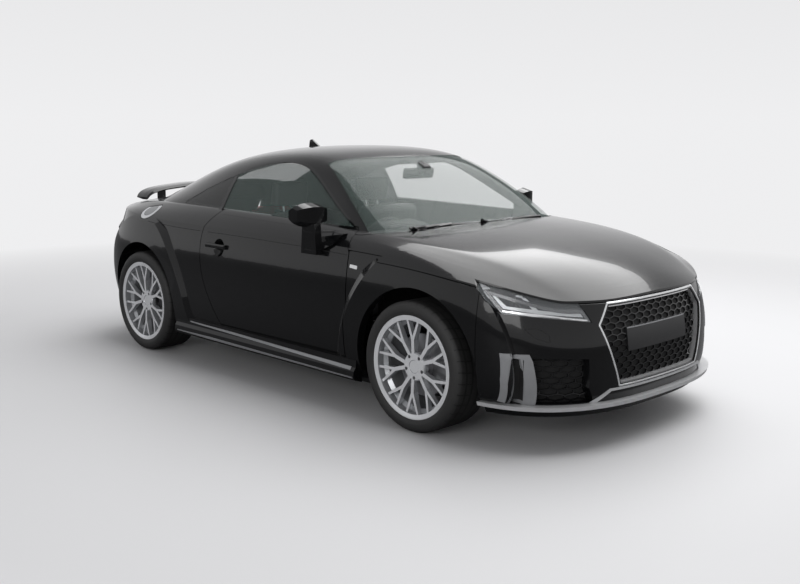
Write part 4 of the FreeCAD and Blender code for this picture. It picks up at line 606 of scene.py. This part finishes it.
def honeycomb(name, across, up, outline):
    # One open cell, copied in staggered rows, trimmed to the opening and laid on the CAD sheet
    pitch, row = combLook["pitch"], combLook["row"]
    cells = added(bpy.ops.mesh.primitive_circle_add, vertices=6, radius=1, fill_type="NGON")
    tall, wide = row / 1.5, pitch / math.sqrt(3)
    for point in cells.data.vertices:
        # Pointed at the top, stretched across the car
        point.co = (0.0, point.co.x * wide, point.co.y * tall)
    edit(cells, lambda: bpy.ops.mesh.inset(thickness=combLook["bar"] / 2),
         lambda: bpy.ops.mesh.delete(type="FACE"))
    columns = int((across[1] - across[0]) / pitch) + combLook["spare"]
    rows = int((up[1] - up[0]) / row / 2) + combLook["spare"]
    for count, step in ((columns, (0, pitch, 0)), (2, (0, pitch / 2, row)), (rows, (0, 0, row * 2))):
        shaped(cells, "ARRAY", count=count, use_relative_offset=False, use_constant_offset=True,
               constant_offset_displace=step)
    cells.data.transform(Matrix.Translation((combLook["startX"], across[0] - pitch, up[0] - row)))
    cuts = [cutAway((combLook["startX"], y0, z0), (0.0, z1 - z0, y0 - y1))
            for (y0, z0), (y1, z1) in zip(outline, outline[1:] + outline[:1])]
    edit(cells, lambda: bpy.ops.mesh.remove_doubles(threshold=combLook["weld"]), *cuts)
    shaped(cells, "SHRINKWRAP", target=nodes["grille"], wrap_method="PROJECT", use_project_x=True,
           use_negative_direction=True, use_positive_direction=False)
    mesh = bmesh.new()
    mesh.from_mesh(cells.data)
    # What missed the sheet is still out in front, and goes
    missed = [point for point in mesh.verts if point.co.x > combLook["missedX"]]
    bmesh.ops.delete(mesh, geom=missed, context="VERTS")
    for point in mesh.verts:
        point.co.x += combLook["depth"] / 2
    mesh.to_mesh(cells.data)
    mesh.free()
    shaped(cells, "SOLIDIFY", thickness=combLook["depth"], offset=0.0)
    finished(cells, name, trim["gloss"], "dark_plastic", "shell")


grilleEdge = turned(grilleLook["edge"])
honeycomb("grilleComb", grilleLook["across"], grilleLook["up"], grilleEdge)
for side, mark in sides:
    honeycomb("intakeComb" + side, sorted(y * mark for y in intakeLook["across"]), intakeLook["up"],
              turned([(y * mark, z) for y, z in intakeLook["edge"]]))
print("honeycomb meshes laid on the nose")


# Nose: grille rim, lamps, washer covers, intake blades and plate holder

# Bright rim round the grille, on the bumper and just outside its opening
rimLook = {"middle": 0.488, "wider": 1.014, "taller": 1.028, "width": 0.009, "proud": 0.0022, "wall": 0.004,
           "edge": 0.0012, "steps": 24}
rimPath = [(y * rimLook["wider"], rimLook["middle"] + (z - rimLook["middle"]) * rimLook["taller"],
            rimLook["width"]) for y, z in grilleEdge]
for index, (one, two) in enumerate(zip(rimPath, rimPath[1:] + rimPath[:1])):
    ribbon("grilleRim" + str(index), "front", ["front_bumper", "bonnet"], [one, two], rimLook, trim["bright"],
           "flap_silver")

# Light guides behind the lenses, and a bright strip on their lower edge: a painted highlight for the light
# caught by the ledge under the lamp
guideLook = {"proud": -0.012, "wall": 0.006, "edge": 0.0006, "steps": 16, "paths": {
    "Low": ((0.515, 0.640, 0.016), (0.700, 0.662, 0.018), (0.792, 0.678, 0.014)),
    "Outer": ((0.815, 0.760, 0.010), (0.789, 0.672, 0.017)),
    "Middle": ((0.742, 0.748, 0.009), (0.704, 0.668, 0.016)),
    "Top": ((0.885, 0.792, 0.008), (0.760, 0.762, 0.010), (0.600, 0.722, 0.006))}}
for part, path in guideLook["paths"].items():
    both("lampGuide" + part, "front", ["headlamp_lenses"], path, guideLook, trim["guide"], "lamp_inner")
# Painted highlight: a bright strip along each lamp's lower edge
lampHighlightLook = {"proud": 0.0012, "wall": 0.002, "edge": 0.0006, "steps": 16,
                 "path": ((0.508, 0.616, 0.006), (0.600, 0.626, 0.014), (0.705, 0.645, 0.015),
                          (0.795, 0.661, 0.007))}
both("lampHighlightStrip", "front", ["headlamp_lenses"], lampHighlightLook["path"], lampHighlightLook, trim["bright"],
     "lamp_inner")

# Joint lines of the lamp washer covers
washerLook = {"proud": 0.0004, "wall": 0.001, "edge": 0.0, "steps": 16, "paths": {
    "Top": ((0.755, 0.585, 0.0025), (0.716, 0.590, 0.0025), (0.680, 0.560, 0.0025)),
    "Low": ((0.755, 0.585, 0.0025), (0.728, 0.546, 0.0025), (0.680, 0.523, 0.0025), (0.680, 0.560, 0.0025))}}
for part, path in washerLook["paths"].items():
    both("washerCover" + part, "front", ["front_bumper"], path, washerLook, trim["line"], "dark_plastic")

# Outer upright of each intake blade, and behind it a near-black strip: painted shade standing for the open
# slot
bladeLook = {"proud": 0.004, "wall": 0.006, "edge": 0.0015, "steps": 24,
             "path": ((0.823, 0.476, 0.026), (0.816, 0.352, 0.026), (0.801, 0.236, 0.026))}
both("bladeOuter", "front", ["front_bumper"], bladeLook["path"], bladeLook, trim["satin"], "satin_grey")
slotShadeLook = {"proud": 0.001, "wall": 0.002, "edge": 0.0, "steps": 16,
            "path": ((1.785, 0.446, 0.050), (1.781, 0.345, 0.050), (1.770, 0.252, 0.048))}
both("bladeSlotShade", "right", ["intake_blades"], slotShadeLook["path"], slotShadeLook, own["grille"], "dark_plastic")

plateEdgeLook = {"proud": 0.0015, "wall": 0.003, "edge": 0.0006, "steps": 24,
                 "path": ((-0.256, 0.553, 0.005), (0.256, 0.553, 0.005))}
ribbon("plateTopEdge", "front", ["plate_holder"], plateEdgeLook["path"], plateEdgeLook, trim["satin"],
       "satin_grey")


# Sides: skirt strips as painted highlights, small blank badges, shoulder line as a painted shadow, window
# edges and mirror glass

# Satin strips on the skirts: painted highlights along the sill's upper and lower edges
skirtHighlightLook = {"proud": 0.0016, "wall": 0.003, "edge": 0.0006, "steps": 40, "paths": {
    "Upper": ((-0.850, 0.272, 0.005), (-0.281, 0.264, 0.014), (0.780, 0.244, 0.017)),
    "Lower": ((-0.850, 0.204, 0.005), (-0.500, 0.203, 0.017), (0.800, 0.198, 0.009))}}
for part, path in skirtHighlightLook["paths"].items():
    both("skirtHighlightStrip" + part, "right", ["side_skirts"], path, skirtHighlightLook, trim["satin"], "satin_grey")

badgeLook = {"proud": 0.0018, "wall": 0.002, "edge": 0.0006, "steps": 4,
             "path": ((0.745, 0.774, 0.018), (0.800, 0.770, 0.018))}
both("sideBadge", "right", ["front_wing_right"], badgeLook["path"], badgeLook, trim["bright"], "satin_grey")

# A painted shadow line under the shoulder crease: it starts on the rear quarter and goes on along the door
shoulderShadowLook = {"width": 0.003, "joint": (-0.545, 0.844),
                "quarter": ((-1.212, 0.861), (-1.070, 0.852), (-0.908, 0.846), (-0.627, 0.8435)),
                "door": ((-0.367, 0.8445), (-0.121, 0.843), (0.110, 0.8405), (0.330, 0.838), (0.712, 0.827)),
                "onQuarter": {"proud": 0.0006, "wall": 0.0012, "edge": 0.0, "steps": 24},
                "onDoor": {"proud": 0.0006, "wall": 0.0012, "edge": 0.0, "steps": 40}}
doorShadowLine = [(x, z, shoulderShadowLook["width"]) for x, z in (shoulderShadowLook["joint"], *shoulderShadowLook["door"])]
rearShadowLine = [(x, z, shoulderShadowLook["width"]) for x, z in (*shoulderShadowLook["quarter"], shoulderShadowLook["joint"])]
both("shoulderShadow", "right", ["door_right"], doorShadowLine, shoulderShadowLook["onDoor"], trim["line"], "dark_plastic",
     "door_right")
both("shoulderShadowRear", "right", ["side_frame_right"], rearShadowLine, shoulderShadowLook["onQuarter"], trim["line"],
     "dark_plastic")

pillarLook = {"proud": 0.0012, "wall": 0.002, "edge": 0.0006, "steps": 16,
              "path": ((-0.572, 0.972, 0.034), (-0.572, 1.168, 0.034))}
both("pillarCover", "right", ["quarter_glass", "side_frame_right"], pillarLook["path"], pillarLook,
     trim["gloss"], "dark_plastic")

# Gloss strip over the side windows, a little above the line of points
windowLook = {"raised": 0.002, "width": 0.014, "proud": 0.0012, "wall": 0.002, "edge": 0.0006, "steps": 64,
              "line": ((-1.010, 0.996), (-0.837, 1.084), (-0.640, 1.159), (-0.408, 1.229), (-0.234, 1.261),
                       (-0.131, 1.273), (-0.034, 1.272), (0.055, 1.258), (0.137, 1.235), (0.212, 1.203),
                       (0.278, 1.167), (0.353, 1.125), (0.427, 1.082), (0.496, 1.042), (0.550, 1.011),
                       (0.596, 0.987))}
windowPath = [(x, z + windowLook["raised"], windowLook["width"]) for x, z in windowLook["line"]]
both("windowEdge", "right", ["side_frame_right"], windowPath, windowLook, trim["gloss"], "dark_plastic")

mirrorLook = {"proud": 0.001, "wall": 0.002, "edge": 0.0006, "steps": 12,
              "path": ((0.962, 0.985, 0.060), (0.862, 0.985, 0.070))}
both("mirrorFace", "rear", ["door_right"], mirrorLook["path"], mirrorLook, trim["mirror"], "trim_black",
     "door_right")

beltLook = {"proud": 0.0012, "wall": 0.002, "edge": 0.0006, "steps": 30,
            "path": ((0.60, 0.925, 0.010), (0.10, 0.944, 0.012), (-0.50, 0.955, 0.010))}
both("beltStrip", "right", ["door_right"], beltLook["path"], beltLook, trim["gloss"], "dark_plastic",
     "door_right")


# Windscreen: wipers at rest, with mirror, stalk and rain sensor cover inside

wiperLook = {"bladeWidth": 0.010, "armWidths": (0.022, 0.010), "armStart": 0.022, "armMiddle": 0.004,
             "onNodes": ["windscreen", "bonnet", "cowl"],
             "blade": {"proud": 0.016, "wall": 0.012, "edge": 0.0006, "steps": 20},
             "arm": {"proud": 0.026, "wall": 0.008, "edge": 0.0006, "steps": 12},
             "lines": {"Right": ((0.865, -0.560), (0.900, 0.020)), "Left": ((0.902, -0.060), (0.872, 0.540))}}
for side, ((x0, y0), (x1, y1)) in wiperLook["lines"].items():
    rubber = [(x0, y0, wiperLook["bladeWidth"]), (x1, y1, wiperLook["bladeWidth"])]
    ribbon("wiper" + side + "Blade", "top", wiperLook["onNodes"], rubber, wiperLook["blade"], trim["dark"],
           "dark_plastic")
    arm = [(x0 + wiperLook["armStart"], y0, wiperLook["armWidths"][0]),
           ((x0 + x1) / 2 + wiperLook["armMiddle"], (y0 + y1) / 2, wiperLook["armWidths"][1])]
    ribbon("wiper" + side + "Arm", "top", wiperLook["onNodes"], arm, wiperLook["arm"], trim["gloss"],
           "dark_plastic")

screenLook = {
    "insideMirror": {"finish": "gloss", "place": (0.385, 0.0, 1.205), "size": (0.035, 0.235, 0.062),
                     "tilt": 12, "edge": 0.012, "taper": 1.0},
    "insideMirrorGlass": {"finish": "mirror", "place": (0.3665, 0.0, 1.2015), "size": (0.004, 0.222, 0.050),
                          "tilt": 12, "edge": 0.0015, "taper": 1.0},
    "mirrorStalk": {"finish": "dark", "place": (0.405, 0.0, 1.240), "size": (0.050, 0.030, 0.070), "tilt": 30,
                    "edge": 0.006, "taper": 0.7},
    "sensorCover": {"finish": "dark", "place": (0.430, 0.0, 1.250), "size": (0.075, 0.075, 0.024), "tilt": 27,
                    "edge": 0.008, "taper": 0.8},
}
for name, look in screenLook.items():
    block(name, look, look["place"], trim[look["finish"]], "trim_black")
print("front, side and glass trim set")


# Seats: padded pieces in the room of their solids

padLook = {"cuts": 7, "cornerPull": 0.05, "endPull": 0.06, "sidePull": 0.05, "flat": 0.82,
           "bolsterFrom": 0.62, "bolsterFall": 0.3, "rounding": 0.16, "sharpAbove": 50, "fill": 0.75}
seatLook = {
    "panel": leatherFinish("seatPanel", (0.022, 0.022, 0.024), 0.052),
    "bolster": leatherFinish("seatBolster", (0.020, 0.020, 0.022)),
    "frontY": 0.35, "rearY": 0.275,
    "cushion": {"size": (0.50, 0.47, 0.150), "x": -0.005, "z": 0.385, "tilt": -4, "crown": 0.16,
                "bolster": 0.030},
    "back": {"size": (0.56, 0.46, 0.125), "x": -0.292, "z": 0.695, "tilt": -74, "crown": 0.16,
             "bolster": 0.030},
    "headrest": {"size": (0.150, 0.250, 0.085), "x": -0.398, "z": 1.060, "tilt": -82, "crown": 0.18,
                 "bolster": 0.0},
    "rearCushion": {"size": (0.26, 0.50, 0.110), "x": -0.725, "z": 0.415, "tilt": -8, "crown": 0.14,
                    "bolster": 0.0},
    "rearBack": {"size": (0.44, 0.50, 0.070), "x": -0.872, "z": 0.665, "tilt": -76, "crown": 0.14,
                 "bolster": 0.0},
    "base": {"size": (0.40, 0.38, 0.115), "x": 0.0, "z": 0.2535, "tilt": 0, "edge": 0.012, "taper": 1.0},
    "post": {"size": (0.010, 0.010, 0.085), "x": -0.398, "z": 0.975, "tilt": -10, "edge": 0.003,
             "taper": 1.0, "apart": (("In", -0.05), ("Out", 0.05))},
}


def pad(name, look, y, finish, replaced):
    # A crowned closed cushion whose sides pull in towards its corners
    cushion = added(bpy.ops.mesh.primitive_cube_add, size=2)
    edit(cushion, lambda: bpy.ops.mesh.subdivide(number_cuts=padLook["cuts"]))
    long, wide, tall = look["size"]
    bolsterFrom = padLook["bolsterFrom"]
    for point in cushion.data.vertices:
        a, b, c = point.co
        swell = (1 - a * a) * (1 - b * b)
        raised = 0.0
        if c > 0:
            outwards = max(0.0, abs(b) - bolsterFrom) / (1 - bolsterFrom)
            raised = look["bolster"] * outwards * (1 - padLook["bolsterFall"] * a * a)
        pull = 1 - padLook["cornerPull"] * (a * a * b * b)
        point.co = (a * long / 2 * pull * (1 - padLook["endPull"] * c * c),
                    b * wide / 2 * pull * (1 - padLook["sidePull"] * c * c),
                    c * tall / 2 * (padLook["flat"] + look["crown"] * swell) + raised)
    shaped(cushion, "BEVEL", width=min(look["size"]) * padLook["rounding"], segments=3, limit_method="ANGLE",
           angle_limit=math.radians(padLook["sharpAbove"]))
    shaped(cushion, "SUBSURF", levels=1, render_levels=1)
    turn = Matrix.Rotation(math.radians(look["tilt"]), 4, "Y")
    cushion.data.transform(Matrix.Translation((look["x"], y, look["z"])) @ turn)
    finished(cushion, name, finish, "seat_leather", "shell", replaced)


for side, mark in sides:
    frontY, rearY = mark * seatLook["frontY"], mark * seatLook["rearY"]
    base, post = seatLook["base"], seatLook["post"]
    pad("seatCushion" + side, seatLook["cushion"], frontY, seatLook["panel"], "front_seats")
    pad("seatBack" + side, seatLook["back"], frontY, seatLook["panel"], "front_seats")
    pad("headrest" + side, seatLook["headrest"], frontY, seatLook["bolster"], "front_seats")
    block("seatBase" + side, base, (base["x"], frontY, base["z"]), trim["dark"], "seat_leather",
          "front_seats")
    for end, step in post["apart"]:
        block("headPost" + side + end, post, (post["x"], frontY + step, post["z"]), trim["bright"],
              "seat_leather", "front_seats")
    pad("rearCushion" + side, seatLook["rearCushion"], rearY, seatLook["panel"], "rear_seats")
    pad("rearBack" + side, seatLook["rearBack"], rearY, seatLook["panel"], "rear_seats")
print("seats padded")


# Dash: instrument hood, vents and the steering wheel's pad

hoodLook = {"size": (0.17, 0.36, 0.055), "place": (0.585, -0.350, 0.930), "tilt": 6, "edge": 0.02,
            "taper": 0.8}
ventLook = {"size": (0.016, 0.085, 0.085), "x": 0.532, "z": 0.850, "tilt": -52, "edge": 0.007, "taper": 1.0,
            "across": (-0.52, -0.12, 0.12, 0.52), "countedFrom": -0.60}
wheelPadLook = {"size": (0.11, 0.13, 0.020), "place": (0.408, -0.350, 0.806), "tilt": -65, "edge": 0.008,
                "taper": 1.0}

block("binnacle", hoodLook, hoodLook["place"], finishes["trim_black"], "trim_black")
for y in ventLook["across"]:
    # Numbered by the centimetres from the dash's right end
    number = round((y - ventLook["countedFrom"]) * 100)
    block("vent" + str(number), ventLook, (ventLook["x"], y, ventLook["z"]), trim["bright"], "trim_black")
block("wheelPad", wheelPadLook, wheelPadLook["place"], finishes["wheel_leather"], "wheel_leather",
      body="steering_wheel")


# Wheels: hexagonal bolts in their recesses

boltLook = {"count": 5, "circle": 0.056, "radius": 0.0075, "face": 0.071, "height": 0.006,
            "socketWall": 0.0022, "socketDepth": 0.003}


def pushed(distance):
    bpy.ops.mesh.extrude_region_move(TRANSFORM_OT_translate={"value": (0, distance, 0)})


def boltSet(name, centre, body):
    head = added(bpy.ops.mesh.primitive_circle_add, vertices=6, radius=boltLook["radius"], fill_type="NGON",
                 rotation=(math.pi / 2, 0, 0))
    bpy.ops.object.transform_apply(location=True, rotation=True, scale=True)
    edit(head,
         lambda: pushed(boltLook["height"]),
         lambda: bpy.ops.mesh.inset(thickness=boltLook["socketWall"]),
         lambda: pushed(-boltLook["socketDepth"]),
         lambda: bpy.ops.mesh.select_all(action="SELECT"),
         lambda: bpy.ops.mesh.normals_make_consistent(inside=False))
    onLeft = centre[1] > 0
    outY = boltLook["face"] - boltLook["height"]
    spin = Matrix.Identity(4) if onLeft else Matrix.Rotation(math.pi, 4, "Z")
    copies = []
    for index in range(boltLook["count"]):
        copy = head.copy()
        copy.data = head.data.copy()
        bpy.context.scene.collection.objects.link(copy)
        turn = 2 * math.pi * (index + 0.5) / boltLook["count"]
        place = (centre[0] + boltLook["circle"] * math.sin(turn), centre[1] + (outY if onLeft else -outY),
                 centre[2] + boltLook["circle"] * math.cos(turn))
        copy.data.transform(Matrix.Translation(place) @ spin)
        copies.append(copy)
    bpy.data.objects.remove(head)
    pick(copies[0])
    for copy in copies[1:]:
        copy.select_set(True)
    bpy.ops.object.join()
    finished(copies[0], name, trim["dark"], "rim_alloy", body)


for axle in axles:
    for side in ("left", "right"):
        boltSet("wheelBolts" + axle.title() + side.title(), wheelCentre(axle, side),
                "wheel_" + axle + "_" + side)
print("dash pieces and wheel bolts set")


# Rear: blank plate, reflectors, diffuser fins and third brake lamp

rearPlateLook = {"proud": 0.006, "wall": 0.006, "edge": 0.0006, "steps": 20,
                 "path": ((-0.26, 0.52, 0.112), (0.26, 0.52, 0.112))}
ribbon("rearPlate", "rear", ["rear_bumper"], rearPlateLook["path"], rearPlateLook, own["plate_holder"],
       "dark_plastic")

reflectorLook = {"proud": 0.002, "wall": 0.003, "edge": 0.0006, "steps": 10,
                 "path": ((0.62, 0.375, 0.020), (0.74, 0.380, 0.014))}
both("rearReflector", "rear", ["rear_bumper"], reflectorLook["path"], reflectorLook, finishes["red_lens"],
     "red_lens")

finLook = {"proud": 0.016, "wall": 0.018, "edge": 0.0006, "steps": 8, "width": 0.008, "up": (0.19, 0.305),
           "across": (-0.33, -0.11, 0.11, 0.33)}
for index, y in enumerate(finLook["across"]):
    path = [(y, z, finLook["width"]) for z in finLook["up"]]
    ribbon("diffuserFin" + str(index), "rear", ["rear_diffuser"], path, finLook, trim["dark"], "dark_plastic")

stopLampLook = {"proud": 0.002, "wall": 0.003, "edge": 0.0006, "steps": 16,
                "path": ((-0.722, -0.14, 0.014), (-0.722, 0.14, 0.014))}
ribbon("highStopLamp", "top", ["tailgate"], stopLampLook["path"], stopLampLook, finishes["red_lens"],
       "red_lens", "tailgate")
print("rear details set")


# Stage, light and camera

floorLook = {"color": (0.62, 0.62, 0.63), "mirrored": (0.10, 0.10, 0.105), "roughness": 0.55,
             "rough": (0.5, 0.62), "patchScale": 2.0, "radius": 60.0, "fadeFrom": 3.2, "fadeTo": 7.0}
skyLook = {"backdrop": (0.86, 0.86, 0.87), "zenith": (0.50, 0.50, 0.51), "rise": 1.15, "onSurfaces": 0.5}
lampLook = {
    "overhead": {"place": (0.6, 2.6, 6.0), "target": (0.2, 0.4, 0.8), "size": (9.0, 7.5), "power": 700.0},
    "wheelFill": {"place": (3.0, -7.5, 2.6), "target": (0.2, -0.8, 0.4), "size": (5.0, 2.4), "power": 130.0},
}
eye = {"place": (4.580, -4.286, 1.521), "yaw": 135.41, "pitch": -9.756, "roll": 0.22, "lens": 45.35,
       "sensor": 36.0, "farthest": 300.0}


def makeFloor():
    floor = added(bpy.ops.mesh.primitive_circle_add, vertices=96, radius=floorLook["radius"],
                  fill_type="NGON")
    floor.name = "floor"
    ground = Finish("floorPale", floorLook["color"], floorLook["roughness"])
    # Mirrored in the car, the floor is darker than the camera sees it
    mirrored = ground.out(ground.node("LightPath"), "Is Glossy Ray")
    ground.feed("Base Color", ground.tint(mirrored, floorLook["color"], floorLook["mirrored"]))
    ground.feed("Roughness", spread(ground.noise(floorLook["patchScale"]), *floorLook["rough"]))
    away = (ground.place("X") ** 2 + ground.place("Y") ** 2) ** 0.5
    faded = (away - floorLook["fadeFrom"]) / (floorLook["fadeTo"] - floorLook["fadeFrom"])
    glow = ground.node("Emission", Color=(*skyLook["backdrop"], 1.0), Strength=1.0)
    # Only what the camera sees fades into the backdrop, so that the floor lights nothing
    seen = ground.out(ground.node("LightPath"), "Is Camera Ray")
    fade = faded.clamp() * seen
    mixed = ground.node("MixShader", i0=fade, i1=ground.out(ground.shader), i2=ground.out(glow))
    ground.tree.links.new(mixed.outputs[0], ground.tree.nodes["Material Output"].inputs["Surface"])
    floor.data.materials.append(ground.material)


def makeWorld():
    world = bpy.data.worlds.new("studio")
    world.use_nodes = True
    bpy.context.scene.world = world
    sky = Shading(world.node_tree)
    # Seen directly, mirrored or through glass it has its full strength; on surfaces it lights less
    path = sky.node("LightPath")
    seen = sky.out(path, "Is Camera Ray") + sky.out(path, "Is Glossy Ray")
    seen = seen + sky.out(path, "Is Transmission Ray")
    high = (sky.place("Z", "Generated") * skyLook["rise"]).clamp()
    shade = sky.tint(high, skyLook["backdrop"], skyLook["zenith"])
    shader = sky.tree.nodes["Background"]
    sky.tree.links.new(shade.socket, shader.inputs["Color"])
    sky.tree.links.new(spread(seen.clamp(), skyLook["onSurfaces"], 1.0).socket, shader.inputs["Strength"])


def makeLamp(name, look):
    data = bpy.data.lights.new(name, "AREA")
    data.shape = "RECTANGLE"
    data.size, data.size_y = look["size"]
    data.energy = look["power"]
    lamp = bpy.data.objects.new(name, data)
    bpy.context.scene.collection.objects.link(lamp)
    lamp.location = look["place"]
    lamp.rotation_euler = (Vector(look["target"]) - Vector(look["place"])).to_track_quat("-Z", "Y").to_euler()
    lamp.visible_camera = False


def makeCamera():
    yaw, pitch, roll = (math.radians(eye[key]) for key in ("yaw", "pitch", "roll"))
    ahead = Vector((math.cos(pitch) * math.cos(yaw), math.cos(pitch) * math.sin(yaw), math.sin(pitch)))
    right = Vector((math.sin(yaw), -math.cos(yaw), 0.0))
    up = right.cross(ahead)
    rolledRight = right * math.cos(roll) + up * math.sin(roll)
    rolledUp = up * math.cos(roll) - right * math.sin(roll)
    data = bpy.data.cameras.new("camera")
    data.lens = eye["lens"]
    data.sensor_width = eye["sensor"]
    data.clip_end = eye["farthest"]
    camera = bpy.data.objects.new("camera", data)
    bpy.context.scene.collection.objects.link(camera)
    turn = Matrix((rolledRight, rolledUp, -ahead)).transposed()
    camera.matrix_world = Matrix.Translation(Vector(eye["place"])) @ turn.to_4x4()
    bpy.context.scene.camera = camera


bpy.context.scene.view_settings.view_transform = "Standard"
makeFloor()
makeWorld()
for name, look in lampLook.items():
    makeLamp(name, look)
makeCamera()
print("stage, lamps and camera set")
